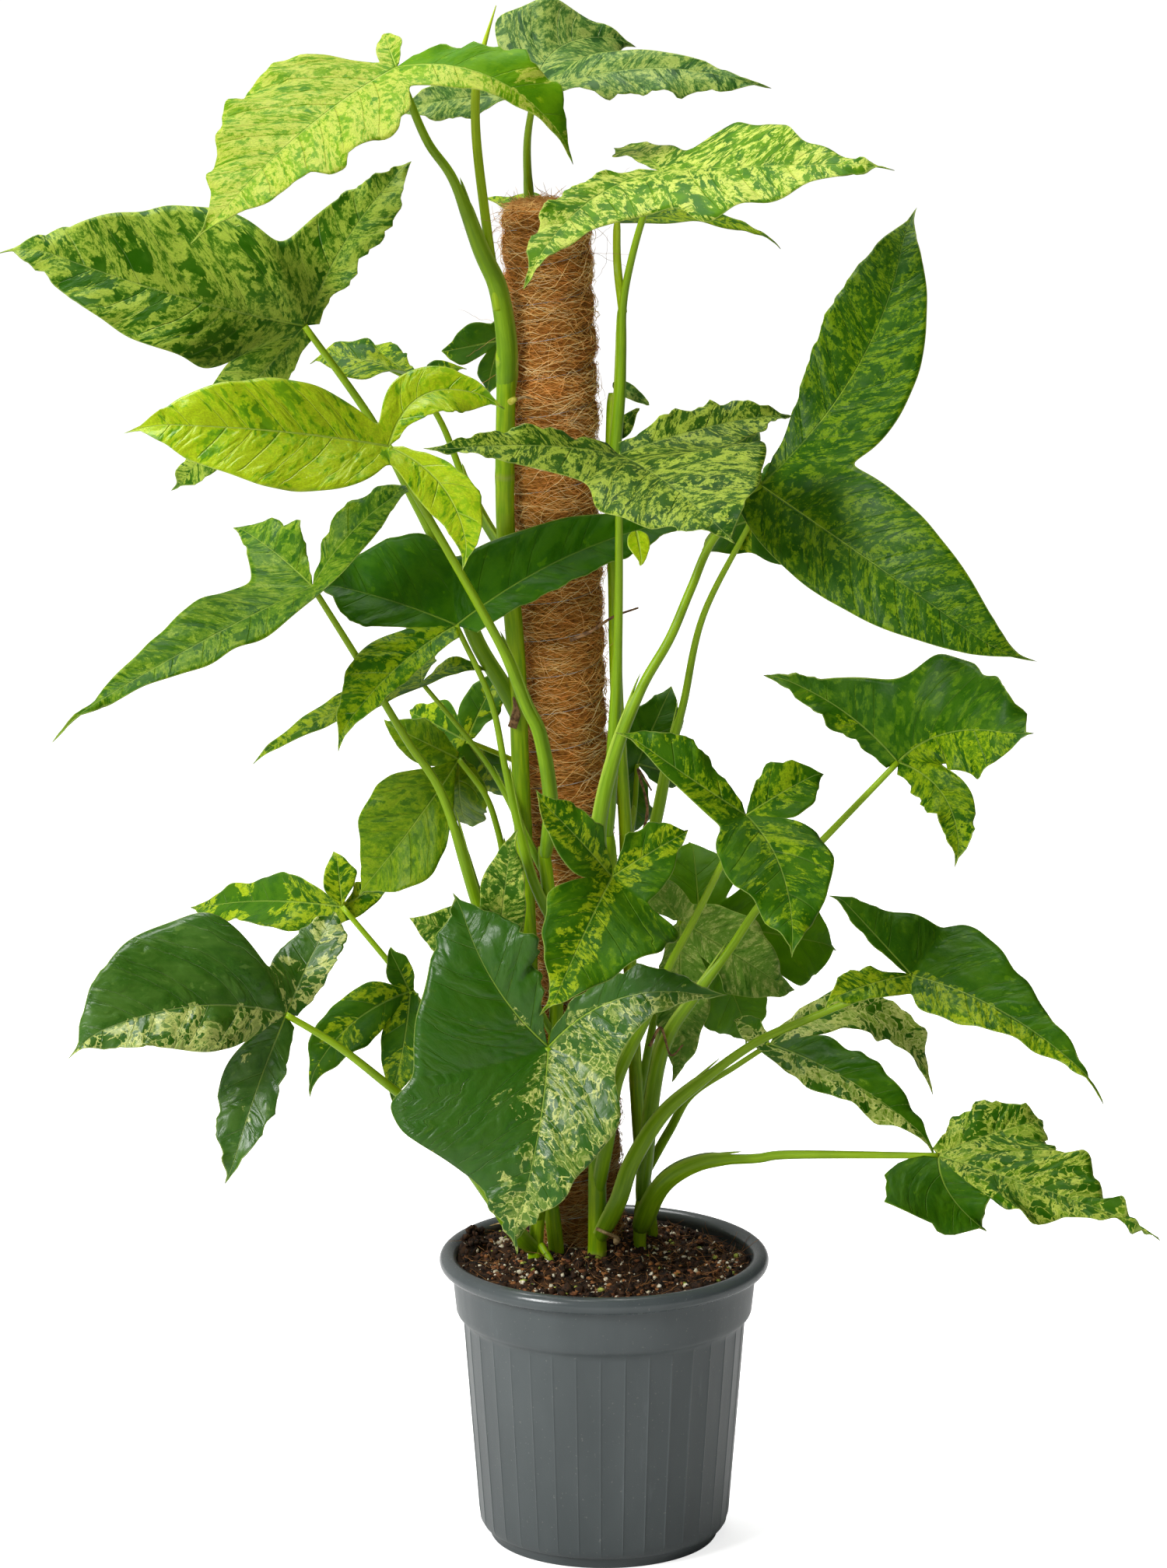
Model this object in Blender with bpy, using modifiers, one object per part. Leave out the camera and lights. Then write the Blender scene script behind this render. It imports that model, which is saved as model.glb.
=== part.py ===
"""Potted syngonium: a climbing arrowhead plant tied to a coir pole, in its round nursery pot.

Metres, +Z up. The origin is the centre of the pot's underside, -Y is the plant's front and +X its right.
Places in the plans below are in centimetres in that same frame, and CM turns them into metres.
Each leaf is one solid: a blade of three lobes around the end of its own stalk.
"""

import math

import bmesh
import bpy
import numpy as np
from mathutils import Vector

CM = 0.01
GAP = 0.0003

# Pot: a 24 cm nursery pot.
RIM_RADIUS = 11.36
RIM_THICK = 0.63
POT_HEIGHT = 21.5
COLLAR_RADIUS = 11.05
COLLAR_FOOT_RADIUS = 10.75
COLLAR_FOOT_HEIGHT = 17.0
BODY_TOP_RADIUS = 10.25
BODY_TOP_HEIGHT = 16.3
BODY_FOOT_RADIUS = 9.1
BODY_FOOT_HEIGHT = 1.4
FOOT_RADIUS = 8.35
FOOT_HEIGHT = 0.75
FLOOR_THICK = 0.35
WALL = 0.25
POT_STEPS = 36
DRAIN_HOLES = 8
DRAIN_RING_RADIUS = 6.2
DRAIN_HOLE_RADIUS = 0.5

# Potting mix, a little below the rim.
SOIL_HEIGHT = 19.7
SOIL_DOME = 0.35

# Coir pole: a stake with a thick sleeve of coir, leaning a little to the left.
POLE_FOOT = (-1.1, 4.5, 1.2)
POLE_TOP = (-4.2, 4.7, 97.6)
COIR_RADIUS = 3.3
COIR_BORE = 1.25
COIR_BURIED = 5.0
STAKE_RADIUS = 1.2
POLE_STEPS = 20

# Stems: route from the potting mix upwards, and the radius at the foot and at the top.
STEM_DEPTH = 6.0
STEMS = {
    "stem_left": ([(-3.5, 0.6, 21.5), (-5, 0.6, 33.5), (-5.5, 1, 45), (-6, 1.5, 56.5), (-6.3, 1.8, 65),
                   (-7, 2.4, 73.5), (-7.1, 2.4, 79), (-7, 2, 84.5), (-7, 1.5, 88.5)], 0.6, 0.75),
    "stem_right": ([(3.5, 5.5, 21), (2.7, 5, 27.5), (2.2, 5, 35.5), (1.8, 4.5, 44), (1.5, 4.5, 52.5),
                    (0.9, 3.5, 62), (0.7, 3, 70.5), (0.5, 3.8, 78.5), (0.6, 4.2, 84)], 0.55, 0.48),
    "stem_centre": ([(-0.5, 0, 22), (-0.5, 0, 27.5), (-0.5, -0.2, 33.5), (0, 0, 40.5), (0.4, 0.4, 48),
                     (0.2, 0.8, 52.8)], 0.75, 0.62),
    "stem_front": ([(-5, -1.2, 21.5), (-4.5, -1.5, 28), (-3.6, -1.6, 37), (-3.5, -1.5, 42.5),
                    (-4, -1.2, 48.5), (-4.4, -0.8, 52)], 0.6, 0.52),
    "stem_back": ([(-1, 8.7, 20), (-2.4, 9, 42), (-3, 9.2, 60.5), (-4, 9.2, 78), (-5, 9, 93)], 0.55, 0.45),
    "stem_short": ([(2.6, 1.8, 21.5), (2.7, 1.8, 25)], 0.55, 0.5),
}

# Young leaves, still rolled: the stem each grows from, its route, and the radius at the foot.
SPEARS = {
    "spear_left": ("stem_left", [(-6.7, 1.3, 86.5), (-6.2, 0.5, 89), (-6.9, 0.1, 92), (-8.3, 0.8, 96.5),
                                 (-9, 1.5, 102.5), (-9, 1.5, 106.5), (-8.5, 1, 109), (-7.6, 0.5, 112)], 0.3),
    "spear_right": ("stem_right", [(0.6, 4.3, 81), (1.1, 5.3, 84), (0.9, 5.4, 88), (0.9, 4.6, 93.5), (0.9, 3.8, 98)], 0.26),
}

# Dry aerial roots: route and radius.
ROOTS = {
    "root_upper": ([(-2.4, 0.5, 66.8), (-1, -0.4, 67.6), (0.6, -0.1, 68.6), (2.4, 1.2, 69)], 0.14),
    "root_middle": ([(2.6, 3.6, 51), (3.1, 2.6, 54), (2.4, 2, 57), (3.4, 1.6, 55.5)], 0.13),
    "root_lower": ([(3.3, 1.1, 36.6), (4.1, 1, 38), (4.8, 0.9, 36), (5.7, 0.7, 36.8)], 0.12),
}

# Blade shape: how lobes swell and taper, how far they join, and how they fold up along the midrib.
SWELL = 0.72
TAPER = 1.15
WEB = 0.24
BACK_WEB = 0.09
BACK_SWELL = 0.55
BACK_ANGLE = math.radians(105)
ROOM_USED = 0.88
BACK_ROOM_USED = 0.76
FOLD = math.radians(14)
BLADE_THICK = 0.1
LOBE_ROWS = 5
LOBE_COLUMNS = 2


def lobe(x, y, z, width, arch=0.06, bend=0.0, lean=0.0, swell=SWELL, taper=TAPER, web=WEB):
    """One lobe: its tip, half width, the rise and sideways bow of its midrib, how much wider its left half is
    than its right, how it swells and tapers, and how far it is joined to the middle lobe."""
    return {"tip": (x, y, z), "width": width, "arch": arch, "bend": bend, "lean": lean,
            "swell": swell, "taper": taper, "web": web}


# Leaves: the stem, where the stalk meets the blade, the way the blade faces, its three lobes with the middle
# one first, and the stalk's route from the stem with its radius at the foot and at the blade.
LEAVES = {
    "leaf_01_crown_left": ("stem_left", (-14.5, -2, 108), (-0.2, -0.6, 0.75),
        [lobe(-27.5, -17, 98, 5.6, 0.04, -0.02, -0.05, taper=1.4), lobe(-2, -4.5, 102, 1.9, 0.22, 0.05, 0.45),
         lobe(-15.5, 1.5, 110, 0.9)],
        [(-7, 1.5, 88), (-7.6, 1.2, 92), (-8.8, 0, 95), (-10.6, -1, 100), (-12.5, -1.6, 103)], 0.55, 0.25),
    "leaf_02_crown_back": ("stem_back", (-5, 6.4, 105), (0, -0.75, 0.65),
        [lobe(2, 18, 107.5, 4.6, 0.05, 0.15, web=0.35), lobe(11.5, 3, 105.8, 1.9, 0.06, 0.08, -0.3), lobe(-15, 9, 103.5, 1.8)],
        [(-5, 9, 92.6), (-5.4, 9, 97.5), (-5.5, 7.6, 101.5)], 0.4, 0.22),
    "leaf_03_upper_right": ("stem_right", (4, 0, 100.5), (0, -0.6, 0.8),
        [lobe(19.6, -9, 102.2, 4.3, 0.04, -0.04, 0.05, swell=0.32, taper=1.5),
         lobe(-5.5, -13, 94.5, 1.9, 0.06, -0.07, web=0.45), lobe(1, 8.5, 101, 1.5)],
        [(0.5, 3.7, 78.2), (0.8, 3, 80.5), (1.1, 2.9, 84), (1.2, 3, 87), (1.3, 2.9, 90.5), (1.8, 2.4, 93.5), (2.7, 1.4, 97)],
        0.36, 0.22),
    "leaf_04_upper_back": ("stem_back", (-2, 10, 95), (0, -0.3, 0.95),
        [lobe(13, 13, 93.5, 1.7, 0.1), lobe(-9, 14.5, 96.5, 1.5), lobe(1, 21, 95.5, 1.7)],
        [(-4.6, 9.1, 86), (-3.8, 9.8, 89), (-2.8, 10.2, 92.5)], 0.3, 0.2),
    "leaf_05_wide_left": ("stem_left", (-21, -3, 90), (0, -0.75, 0.65),
        [lobe(-41.5, -10, 97.5, 5.3, 0.06, 0.07, -0.08), lobe(-13.5, 2, 101, 2.3, 0.06, 0.04, swell=1.3, web=0.42),
         lobe(-30.5, 1, 77, 2.2, swell=0.9)],
        [(-6.1, 1.7, 60.5), (-7.2, 1.8, 63), (-9.2, 1.8, 66.5), (-11.2, 1.4, 72), (-13.6, 1, 77),
         (-16.6, 0, 83)], 0.5, 0.24),
    "leaf_06_left_back": ("stem_left", (-13.5, 6, 84.5), (0, -0.5, 0.85),
        [lobe(-21, 8, 86, 2.8, 0.06, -0.05), lobe(-18, 16, 85.3, 1.4), lobe(-10, 9.5, 85, 1)],
        [(-7, 2.4, 72.5), (-8.6, 3.8, 74.8), (-10, 4.6, 77.5), (-11.6, 5.4, 81.5)], 0.32, 0.2),
    "leaf_07_behind_pole": ("stem_back", (-7.5, 9, 87), (-0.2, -0.95, 0.2),
        [lobe(-11.8, 11, 85.8, 1.4), lobe(-8.5, 10, 83, 1.1), lobe(-4.6, 12, 89.5, 1)],
        [(-4.2, 9.2, 81), (-6.2, 9.6, 85)], 0.25, 0.18),
    "leaf_08_bright_front": ("stem_front", (-15, -9, 82.5), (0, -0.8, 0.6),
        [lobe(-32.5, -17, 85.5, 4.4, 0.04, 0, 0.12, taper=1), lobe(-7.2, -3, 84.5, 2.2, 0.06, 0.25, swell=1, web=0.1),
         lobe(-9.5, -11.5, 74.5, 1.9, 0.06, 0.15, swell=0.8, web=0.12)],
        [(-4.3, -0.9, 51), (-3.9, -2.4, 55.5), (-4.6, -3.2, 60.5), (-5.6, -3.7, 63), (-7.1, -4.6, 67),
         (-9.6, -5.9, 72), (-13, -7.6, 78.5)], 0.42, 0.26),
    "leaf_09_long_left": ("stem_front", (-20.5, -6, 72), (-0.1, -0.6, 0.8),
        [lobe(-38, -19, 64.5, 2.5, 0.06, 0.03, swell=0.6, taper=1.6), lobe(-13, -5, 79.3, 1.9, 0.06, 0.05),
         lobe(-26.5, 1.5, 75, 1.9, 0.06, 0, -0.35, web=0.4)],
        [(-3.9, -1.6, 34), (-6.4, -0.9, 40), (-9, -1, 47.5), (-11.5, -2.4, 56), (-14, -4, 60.5),
         (-17, -5.2, 66)], 0.47, 0.22),
    "leaf_10_dark_centre": ("stem_front", (-10.5, -2.5, 68.5), (0, -0.75, 0.65),
        [lobe(-20.4, -0.5, 71.2, 4, 0.06, 0, -0.25, swell=0.5, taper=1), lobe(8, 2.5, 75.6, 2.3, 0.05, 0.05, 0.1, web=0.4),
         lobe(-19, -9.5, 61.5, 2, 0.06, -0.04, -0.35)],
        [(-3.8, -1.3, 46.5), (-5.2, -1.9, 50), (-6.1, -1.5, 53.5), (-7.1, -1.6, 58), (-8.1, -2, 63)], 0.32, 0.2),
    "leaf_12_pale_centre": ("stem_centre", (1, -4, 81), (0, -0.7, 0.7),
        [lobe(8.5, -16.5, 77.5, 5.8, 0.06, 0, 0.2, swell=0.5, taper=1), lobe(-12.3, -11, 82.5, 1.5, web=0.4),
         lobe(13.5, 1.5, 83, 1.9, web=0.5)],
        [(0.2, 0.7, 52), (0.6, -0.3, 59), (0.9, -1.2, 65), (1, -2.3, 71.5), (1, -3.4, 77)], 0.42, 0.24),
    "leaf_13_tall_right": ("stem_centre", (11, -2, 78.5), (-0.15, -0.95, 0.3),
        [lobe(29, -13, 67.5, 3.9, 0.08, 0, swell=0.9), lobe(21.5, 6, 97.5, 3.7, 0.06, -0.11, web=0.28),
         lobe(8.5, 6, 82.5, 1.8)],
        [(0.4, 0.4, 48), (-0.4, -1.6, 53), (0.7, -2.7, 59), (2.6, -2.8, 64), (4.6, -2.3, 67.5),
         (6.1, -1.8, 71), (7.7, -1.3, 74.5)], 0.48, 0.28),
    "leaf_14_front_centre": ("stem_centre", (0.5, -8, 51.5), (0, -0.85, 0.5),
        [lobe(-4, -18, 44, 4.2, 0.06, 0, 0.25, swell=0.42, taper=1.3), lobe(-5, -10, 58, 1.8),
         lobe(6, -6.5, 54.5, 2.1, web=0.45)],
        [(-0.5, -0.2, 33.5), (-0.4, -2.8, 39), (-0.1, -5, 44)], 0.34, 0.22),
    "leaf_15_right": ("stem_short", (21, 0, 58), (-0.1, -0.85, 0.5),
        [lobe(29.5, -9, 61.8, 5, 0.08, 0.08, -0.1, swell=0.5, taper=0.7), lobe(11.5, 2.5, 64, 1.4, 0.06, -0.06, web=0.5),
         lobe(25, -8, 52.5, 1.8, 0.06, 0.14, 0.1, web=0.35)],
        [(2.7, 1.8, 24.6), (3.6, 2, 33), (4.6, 2.1, 37), (6.5, 2.1, 40), (9, 2, 43.5), (11.6, 1.6, 47.5),
         (15.5, 1, 51.8)], 0.45, 0.22),
    "leaf_16_right_centre": ("stem_centre", (10, -6, 55.5), (0, -0.8, 0.6),
        [lobe(13, -16, 48, 3.6, bend=0.08), lobe(1, -4.5, 61.5, 1.6, 0.06, 0.03, -0.4), lobe(15.5, -3, 58, 2.3)],
        [(-0.5, 0, 25.5), (0.4, -1.6, 31), (1, -1.9, 35), (3, -2, 39.5), (4.6, -2.6, 43.5),
         (6.5, -3.6, 47.5)], 0.42, 0.22),
    "leaf_17_front_big": ("stem_front", (-4, -6, 38.5), (-0.1, -0.9, 0.4),
        [lobe(-7, -9.5, 24.2, 5.8, 0.1, 0.05, -0.33, swell=0.5, taper=1.25),
         lobe(-10.5, -4, 49.5, 4, 0.1, 0.08, web=0.5), lobe(8.5, -10, 43, 1.9, 0.06, 0.14, web=0.4)],
        [(-4.8, -1.4, 24.3), (-4.8, -3.4, 28), (-4.4, -4.8, 33)], 0.42, 0.28),
    "leaf_18_left_big": ("stem_front", (-22.5, -10, 42), (-0.1, -0.75, 0.65),
        [lobe(-37, -20, 42.5, 5.2, 0.08, -0.05, -0.25, swell=0.55, taper=0.95), lobe(-19, -1, 47.5, 2),
         lobe(-26.5, -15, 31, 2.1, 0.06, 0, -0.2)],
        [(-5, -1.2, 21.8), (-6.3, -2.4, 23.5), (-7.8, -3.2, 26), (-10.2, -4.8, 30), (-12.7, -6.3, 33.5),
         (-15.3, -7.4, 36), (-19, -9, 39.5)], 0.5, 0.24),
    "leaf_19_left_twisted": ("stem_left", (-19, 4, 46.3), (0, -0.7, 0.7),
        [lobe(-31, 13.5, 43.5, 2.1), lobe(-19.5, 6, 50, 1.2), lobe(-15.6, 8, 47, 1.1)],
        [(-4.6, 0.6, 30.5), (-7.2, 1.3, 31.5), (-11, 2.2, 36), (-14.6, 3.2, 41)], 0.3, 0.2),
    "leaf_20_light_back": ("stem_left", (-10.5, 3, 57.5), (-0.2, -0.9, 0.4),
        [lobe(-18, 3, 47.3, 3.8, bend=0.04), lobe(-16, 4, 60, 1.5), lobe(-10, 9, 51, 2.2)],
        [(-5.5, 1, 45), (-6.9, 2, 49), (-7.7, 2.3, 52.5), (-8.6, 2.6, 55)], 0.28, 0.2),
    "leaf_21_back_small": ("stem_back", (-10, 9, 57.5), (-0.2, -0.9, 0.4),
        [lobe(-14.5, 14.5, 58.5, 1.8), lobe(-7, 14, 52, 1.6), lobe(-7.5, 13, 62, 1.4)],
        [(-2.9, 9.3, 54), (-6.5, 9.8, 55.8)], 0.24, 0.18),
    "leaf_22_thin_left": ("stem_front", (-13, -1, 64), (-0.1, -0.5, 0.85),
        [lobe(-25, -4, 59, 1.2, bend=-0.01), lobe(-8.5, 1.5, 64.5, 0.9, bend=0.1), lobe(-13, 6, 64.5, 1)],
        [(-4.1, -1.1, 49.5), (-5.6, 0, 52.5), (-7.3, 0.2, 56), (-9.2, 0.1, 59)], 0.24, 0.17),
    "leaf_23_low_left": ("stem_front", (-14, 0, 41), (-0.2, -0.8, 0.6),
        [lobe(-21.5, -3.5, 34.5, 2, bend=-0.1), lobe(-15.5, -3.5, 33.5, 1.5, bend=0.05), lobe(-15.5, -1, 44.5, 1)],
        [(-4.4, -1.5, 29.5), (-7.6, -0.8, 32.5), (-11, -0.4, 37)], 0.26, 0.18),
    "leaf_24_small_front": ("stem_front", (-7.5, -2.4, 45.5), (-0.1, -0.95, 0.3),
        [lobe(-6.5, -3.8, 54, 1.6), lobe(-14, -3, 47, 1.7), lobe(-9.6, -1.4, 41.5, 1.5)],
        [(-3.6, -1.6, 38), (-5.4, -2.2, 41.5)], 0.24, 0.18),
    "leaf_26_light_right_back": ("stem_right", (7, 8, 44), (0.1, -0.9, 0.4),
        [lobe(17.5, 14.5, 40.5, 4.5), lobe(6.5, 13.5, 49, 2.8), lobe(11, 13, 33.5, 3)],
        [(2.6, 5, 29), (4, 6.4, 35), (5.6, 7.2, 40)], 0.34, 0.22),
    "leaf_27_pale_right_back": ("stem_right", (5.5, 5, 45), (0.1, -0.9, 0.4),
        [lobe(14, 7, 38.8, 2.6), lobe(5.5, 4, 33, 1.9), lobe(2.2, 7, 48.5, 1.3)],
        [(2.5, 5, 31), (3.6, 5.6, 37), (4.6, 5.6, 41.5)], 0.26, 0.2),
    "leaf_28_dark_right": ("stem_centre", (22, -3, 43), (0, -0.6, 0.8),
        [lobe(35.5, -12, 36.5, 2.75, 0.08, 0.03, 0.1, swell=0.3, taper=1.5),
         lobe(16.5, 0, 48.5, 1.5, 0.06, 0.03, -0.5, web=0.5), lobe(15.5, -7, 42, 1.5)],
        [(-0.5, 0, 22.2), (1, -1.3, 25.6), (2, -1.2, 28.5), (4.2, -0.9, 32), (7, -0.8, 34.5), (11, -1, 37.5),
         (15, -1.5, 39.5), (18.5, -2.2, 41.2)], 0.5, 0.22),
    "leaf_29_low_right": ("stem_right", (12, 2, 36.5), (0, -0.6, 0.8),
        [lobe(24, -3.5, 31.5, 2.5, 0.1), lobe(23.5, 8.5, 30.3, 2.2, 0.12, 0.2), lobe(9.5, 5.5, 37.5, 1)],
        [(2.9, 5.2, 25.5), (4.8, 3.6, 29.5), (6.4, 2.6, 32.5), (9.5, 2, 34.8)], 0.3, 0.2),
    "leaf_30_far_right": ("stem_short", (24, -4.5, 30), (0.1, -0.6, 0.8),
        [lobe(39.5, -12, 26.5, 2.8, 0.04, -0.02, swell=0.4, taper=1.9), lobe(32, -0.5, 31.5, 2.4, web=0.4),
         lobe(27, -9.5, 26, 3.2, 0.06, -0.15, -0.3, swell=0.2)],
        [(2.6, 1.8, 22.5), (4.2, -0.2, 26.5), (7, -1.2, 28.5), (11, -1.8, 29), (13.7, -2.2, 29.4)], 0.5, 0.22),
    "leaf_31_behind_right": ("stem_right", (10.5, 3, 75), (0.1, -0.8, 0.5),
        [lobe(19.5, 10, 70, 2.2), lobe(14, 8.5, 78.2, 1.8), lobe(7, 10, 71.5, 1.6)],
        [(1.7, 4.5, 46), (3.6, 4.2, 52), (4.7, 4.1, 57.5), (5.7, 3.8, 61.5), (7.1, 3.6, 68)], 0.4, 0.2),
    "leaf_33_dark_back": ("stem_right", (2.4, 8, 56), (0, -0.9, 0.4),
        [lobe(5, 12, 61, 2), lobe(2, 11, 50, 1.6), lobe(5.5, 13.5, 53.5, 1.2)],
        [(1.6, 4.5, 50.4), (2.2, 6.8, 53)], 0.24, 0.18),
}

COLOURS = {
    "pot": ((0.09, 0.107, 0.117), 0.42),
    "soil": ((0.03, 0.016, 0.009), 0.95),
    "coir": ((0.3, 0.115, 0.03), 0.9),
    "stake": ((0.35, 0.24, 0.13), 0.8),
    "stem": ((0.12, 0.25, 0.03), 0.45),
    "leaf": ((0.06, 0.2, 0.025), 0.35),
    "spear": ((0.4, 0.55, 0.06), 0.4),
    "root": ((0.13, 0.075, 0.03), 0.85),
}


def new_collection(name):
    """A collection linked to the scene."""
    collection = bpy.data.collections.new(name)
    bpy.context.scene.collection.children.link(collection)
    return collection


def add_object(name, mesh, collection, finish=None, smooth=True):
    """An object for this mesh, in this collection, with a material of its own."""
    obj = bpy.data.objects.new(name, mesh)
    collection.objects.link(obj)
    if finish:
        colour, roughness = COLOURS[finish]
        material = bpy.data.materials.new(name + "_" + finish)
        material.use_nodes = True
        shader = material.node_tree.nodes["Principled BSDF"]
        shader.inputs["Base Color"].default_value = (*colour, 1)
        shader.inputs["Roughness"].default_value = roughness
        shader.inputs["Metallic"].default_value = 0
        mesh.materials.append(material)
    if smooth:
        mesh.shade_smooth()
        mesh.set_sharp_from_angle(angle=math.radians(40))
    return obj


def evaluated_mesh(obj):
    """A copy of the mesh that the object's modifiers give."""
    depsgraph = bpy.context.evaluated_depsgraph_get()
    return bpy.data.meshes.new_from_object(obj.evaluated_get(depsgraph))


def lathe(name, profile, steps, collection, finish=None):
    """A turned solid: the profile is (radius, height) in centimetres, down its outer side."""
    mesh = bpy.data.meshes.new(name)
    points = [(radius * CM, 0, height * CM) for radius, height in profile]
    mesh.from_pydata(points, [(i, i + 1) for i in range(len(points) - 1)], [])
    obj = add_object(name, mesh, collection, finish, smooth=False)
    screw = obj.modifiers.new("turn", "SCREW")
    screw.steps = steps
    screw.render_steps = steps
    screw.use_merge_vertices = True
    screw.merge_threshold = 0.00001
    return obj


def smooth_route(points, per_span):
    """Points along a Catmull-Rom curve through the route, in metres."""
    route = np.array(points, dtype=float) * CM
    padded = np.vstack([2 * route[0] - route[1], route, 2 * route[-1] - route[-2]])
    steps = np.arange(per_span)[:, None] / per_span
    spans = []
    for a, b, c, d in zip(padded, padded[1:], padded[2:], padded[3:]):
        spans.append(0.5 * (2 * b + (c - a) * steps + (2 * a - 5 * b + 4 * c - d) * steps**2
                            + (3 * b - 3 * c + d - a) * steps**3))
    return np.vstack(spans + [route[-1:]])


def tube(name, points, foot_radius, top_radius, collection, finish=None, per_span=2, extra=0.0, rounds=1):
    """A tapered solid tube along a smooth route, as a mesh; `extra` metres are added to its radius."""
    path = smooth_route(points, per_span)
    curve = bpy.data.curves.new(name, "CURVE")
    curve.dimensions = "3D"
    curve.bevel_depth = 1.0
    curve.bevel_resolution = rounds
    curve.use_fill_caps = True
    spline = curve.splines.new("POLY")
    spline.points.add(len(path) - 1)
    for index, (point, place) in enumerate(zip(spline.points, path)):
        along = index / (len(path) - 1)
        point.co = (*place, 1)
        point.radius = (foot_radius + (top_radius - foot_radius) * along) * CM + extra
    guide = bpy.data.objects.new(name + "_route", curve)
    collection.objects.link(guide)
    mesh = evaluated_mesh(guide)
    bpy.data.objects.remove(guide)
    body = bmesh.new()
    body.from_mesh(mesh)
    bmesh.ops.remove_doubles(body, verts=body.verts, dist=0.00001)
    bmesh.ops.recalc_face_normals(body, faces=body.faces)
    body.to_mesh(mesh)
    body.free()
    return add_object(name, mesh, collection, finish)


def boolean(obj, other, operation):
    """Cut the other object from this one, or join it, with the exact solver."""
    modifier = obj.modifiers.new(operation.lower(), "BOOLEAN")
    modifier.operation = operation
    modifier.solver = "EXACT"
    modifier.object = other


def as_cutter(obj):
    """Mark an object as a cutter."""
    obj.hide_render = True
    obj.display_type = "WIRE"
    return obj


def unit(vector):
    """Vectors of length one."""
    return vector / np.maximum(np.linalg.norm(vector, axis=-1, keepdims=True), 1e-9)


def spine_frame(joint, faces, part, along):
    """Points of a lobe's midrib, with its side and face directions, at fractions of its length.

    The midrib runs straight from the joint to the tip, plus 4u(1-u) times its arch and its bend. The blade
    faces the first of `faces` at the joint and turns to the second over the first half of the lobe.
    """
    chord = np.array(part["tip"], dtype=float) - joint
    length = np.linalg.norm(chord)
    ahead = chord / length
    up = unit(faces[1] - np.dot(faces[1], ahead) * ahead)
    lift = length * (part["arch"] * up + part["bend"] * np.cross(up, ahead))
    u = along[..., None]
    place = joint + chord * u + 4 * u * (1 - u) * lift
    heading = unit(chord + 4 * (1 - 2 * u) * lift)
    share = np.clip(2 * u, 0, 1)
    share = share * share * (3 - 2 * share)
    wanted = faces[0] * (1 - share) + faces[1] * share
    face_way = unit(wanted - np.sum(wanted * heading, axis=-1, keepdims=True) * heading)
    return place, np.cross(face_way, heading), face_way


def half_lobe(joint, faces, part, hand, web, rows, columns):
    """Half a lobe as a grid of points, from the midrib (column 0) to the margin.

    `hand` is 1 for the half on the side direction and -1 for the other. `web` is the angle and the reach
    from the joint to where the margin starts, and how much slower this half swells. The half width is
    W u^p (1-u)^q, scaled to reach W, and it stays inside the web's angle so that lobes don't cross.
    """
    angle, reach, slower = web
    web_place = (reach * math.cos(angle), reach * math.sin(angle))
    u = np.linspace(0, 1, rows + 1)[:, None]
    s = np.linspace(0, 1, columns + 1)[None, :]
    rise, fall = part["swell"] + slower, part["taper"]
    crest = rise / (rise + fall)
    swell = u**rise * (1 - u)**fall / (crest**rise * (1 - crest)**fall)
    length = np.linalg.norm(np.array(part["tip"]) - joint)
    margin_ahead = web_place[0] + (length - web_place[0]) * u
    width = part["width"] * (1 + hand * part["lean"])
    margin_out = web_place[1] * (1 - u)**2 + (width - 0.25 * web_place[1]) * swell
    if angle < math.radians(85):
        margin_out = np.minimum(margin_out, margin_ahead * math.tan(angle))
    rib = length * u**1.12
    ahead = rib + (margin_ahead - rib) * s
    out = margin_out * s
    place, side, up = spine_frame(joint, faces, part, ahead / length)
    fold = FOLD * (1 - 0.5 * u[..., None])
    return place + out[..., None] * (hand * np.cos(fold) * side + np.sin(fold) * up)


def first_way(joint, face, part):
    """The way a lobe leaves the joint, with most of its arch and bend counted in."""
    chord = np.array(part["tip"]) - joint
    ahead = unit(chord)
    up = unit(face - np.dot(face, ahead) * ahead)
    return unit(ahead + 2.8 * (part["arch"] * up + part["bend"] * np.cross(up, ahead)))


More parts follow.
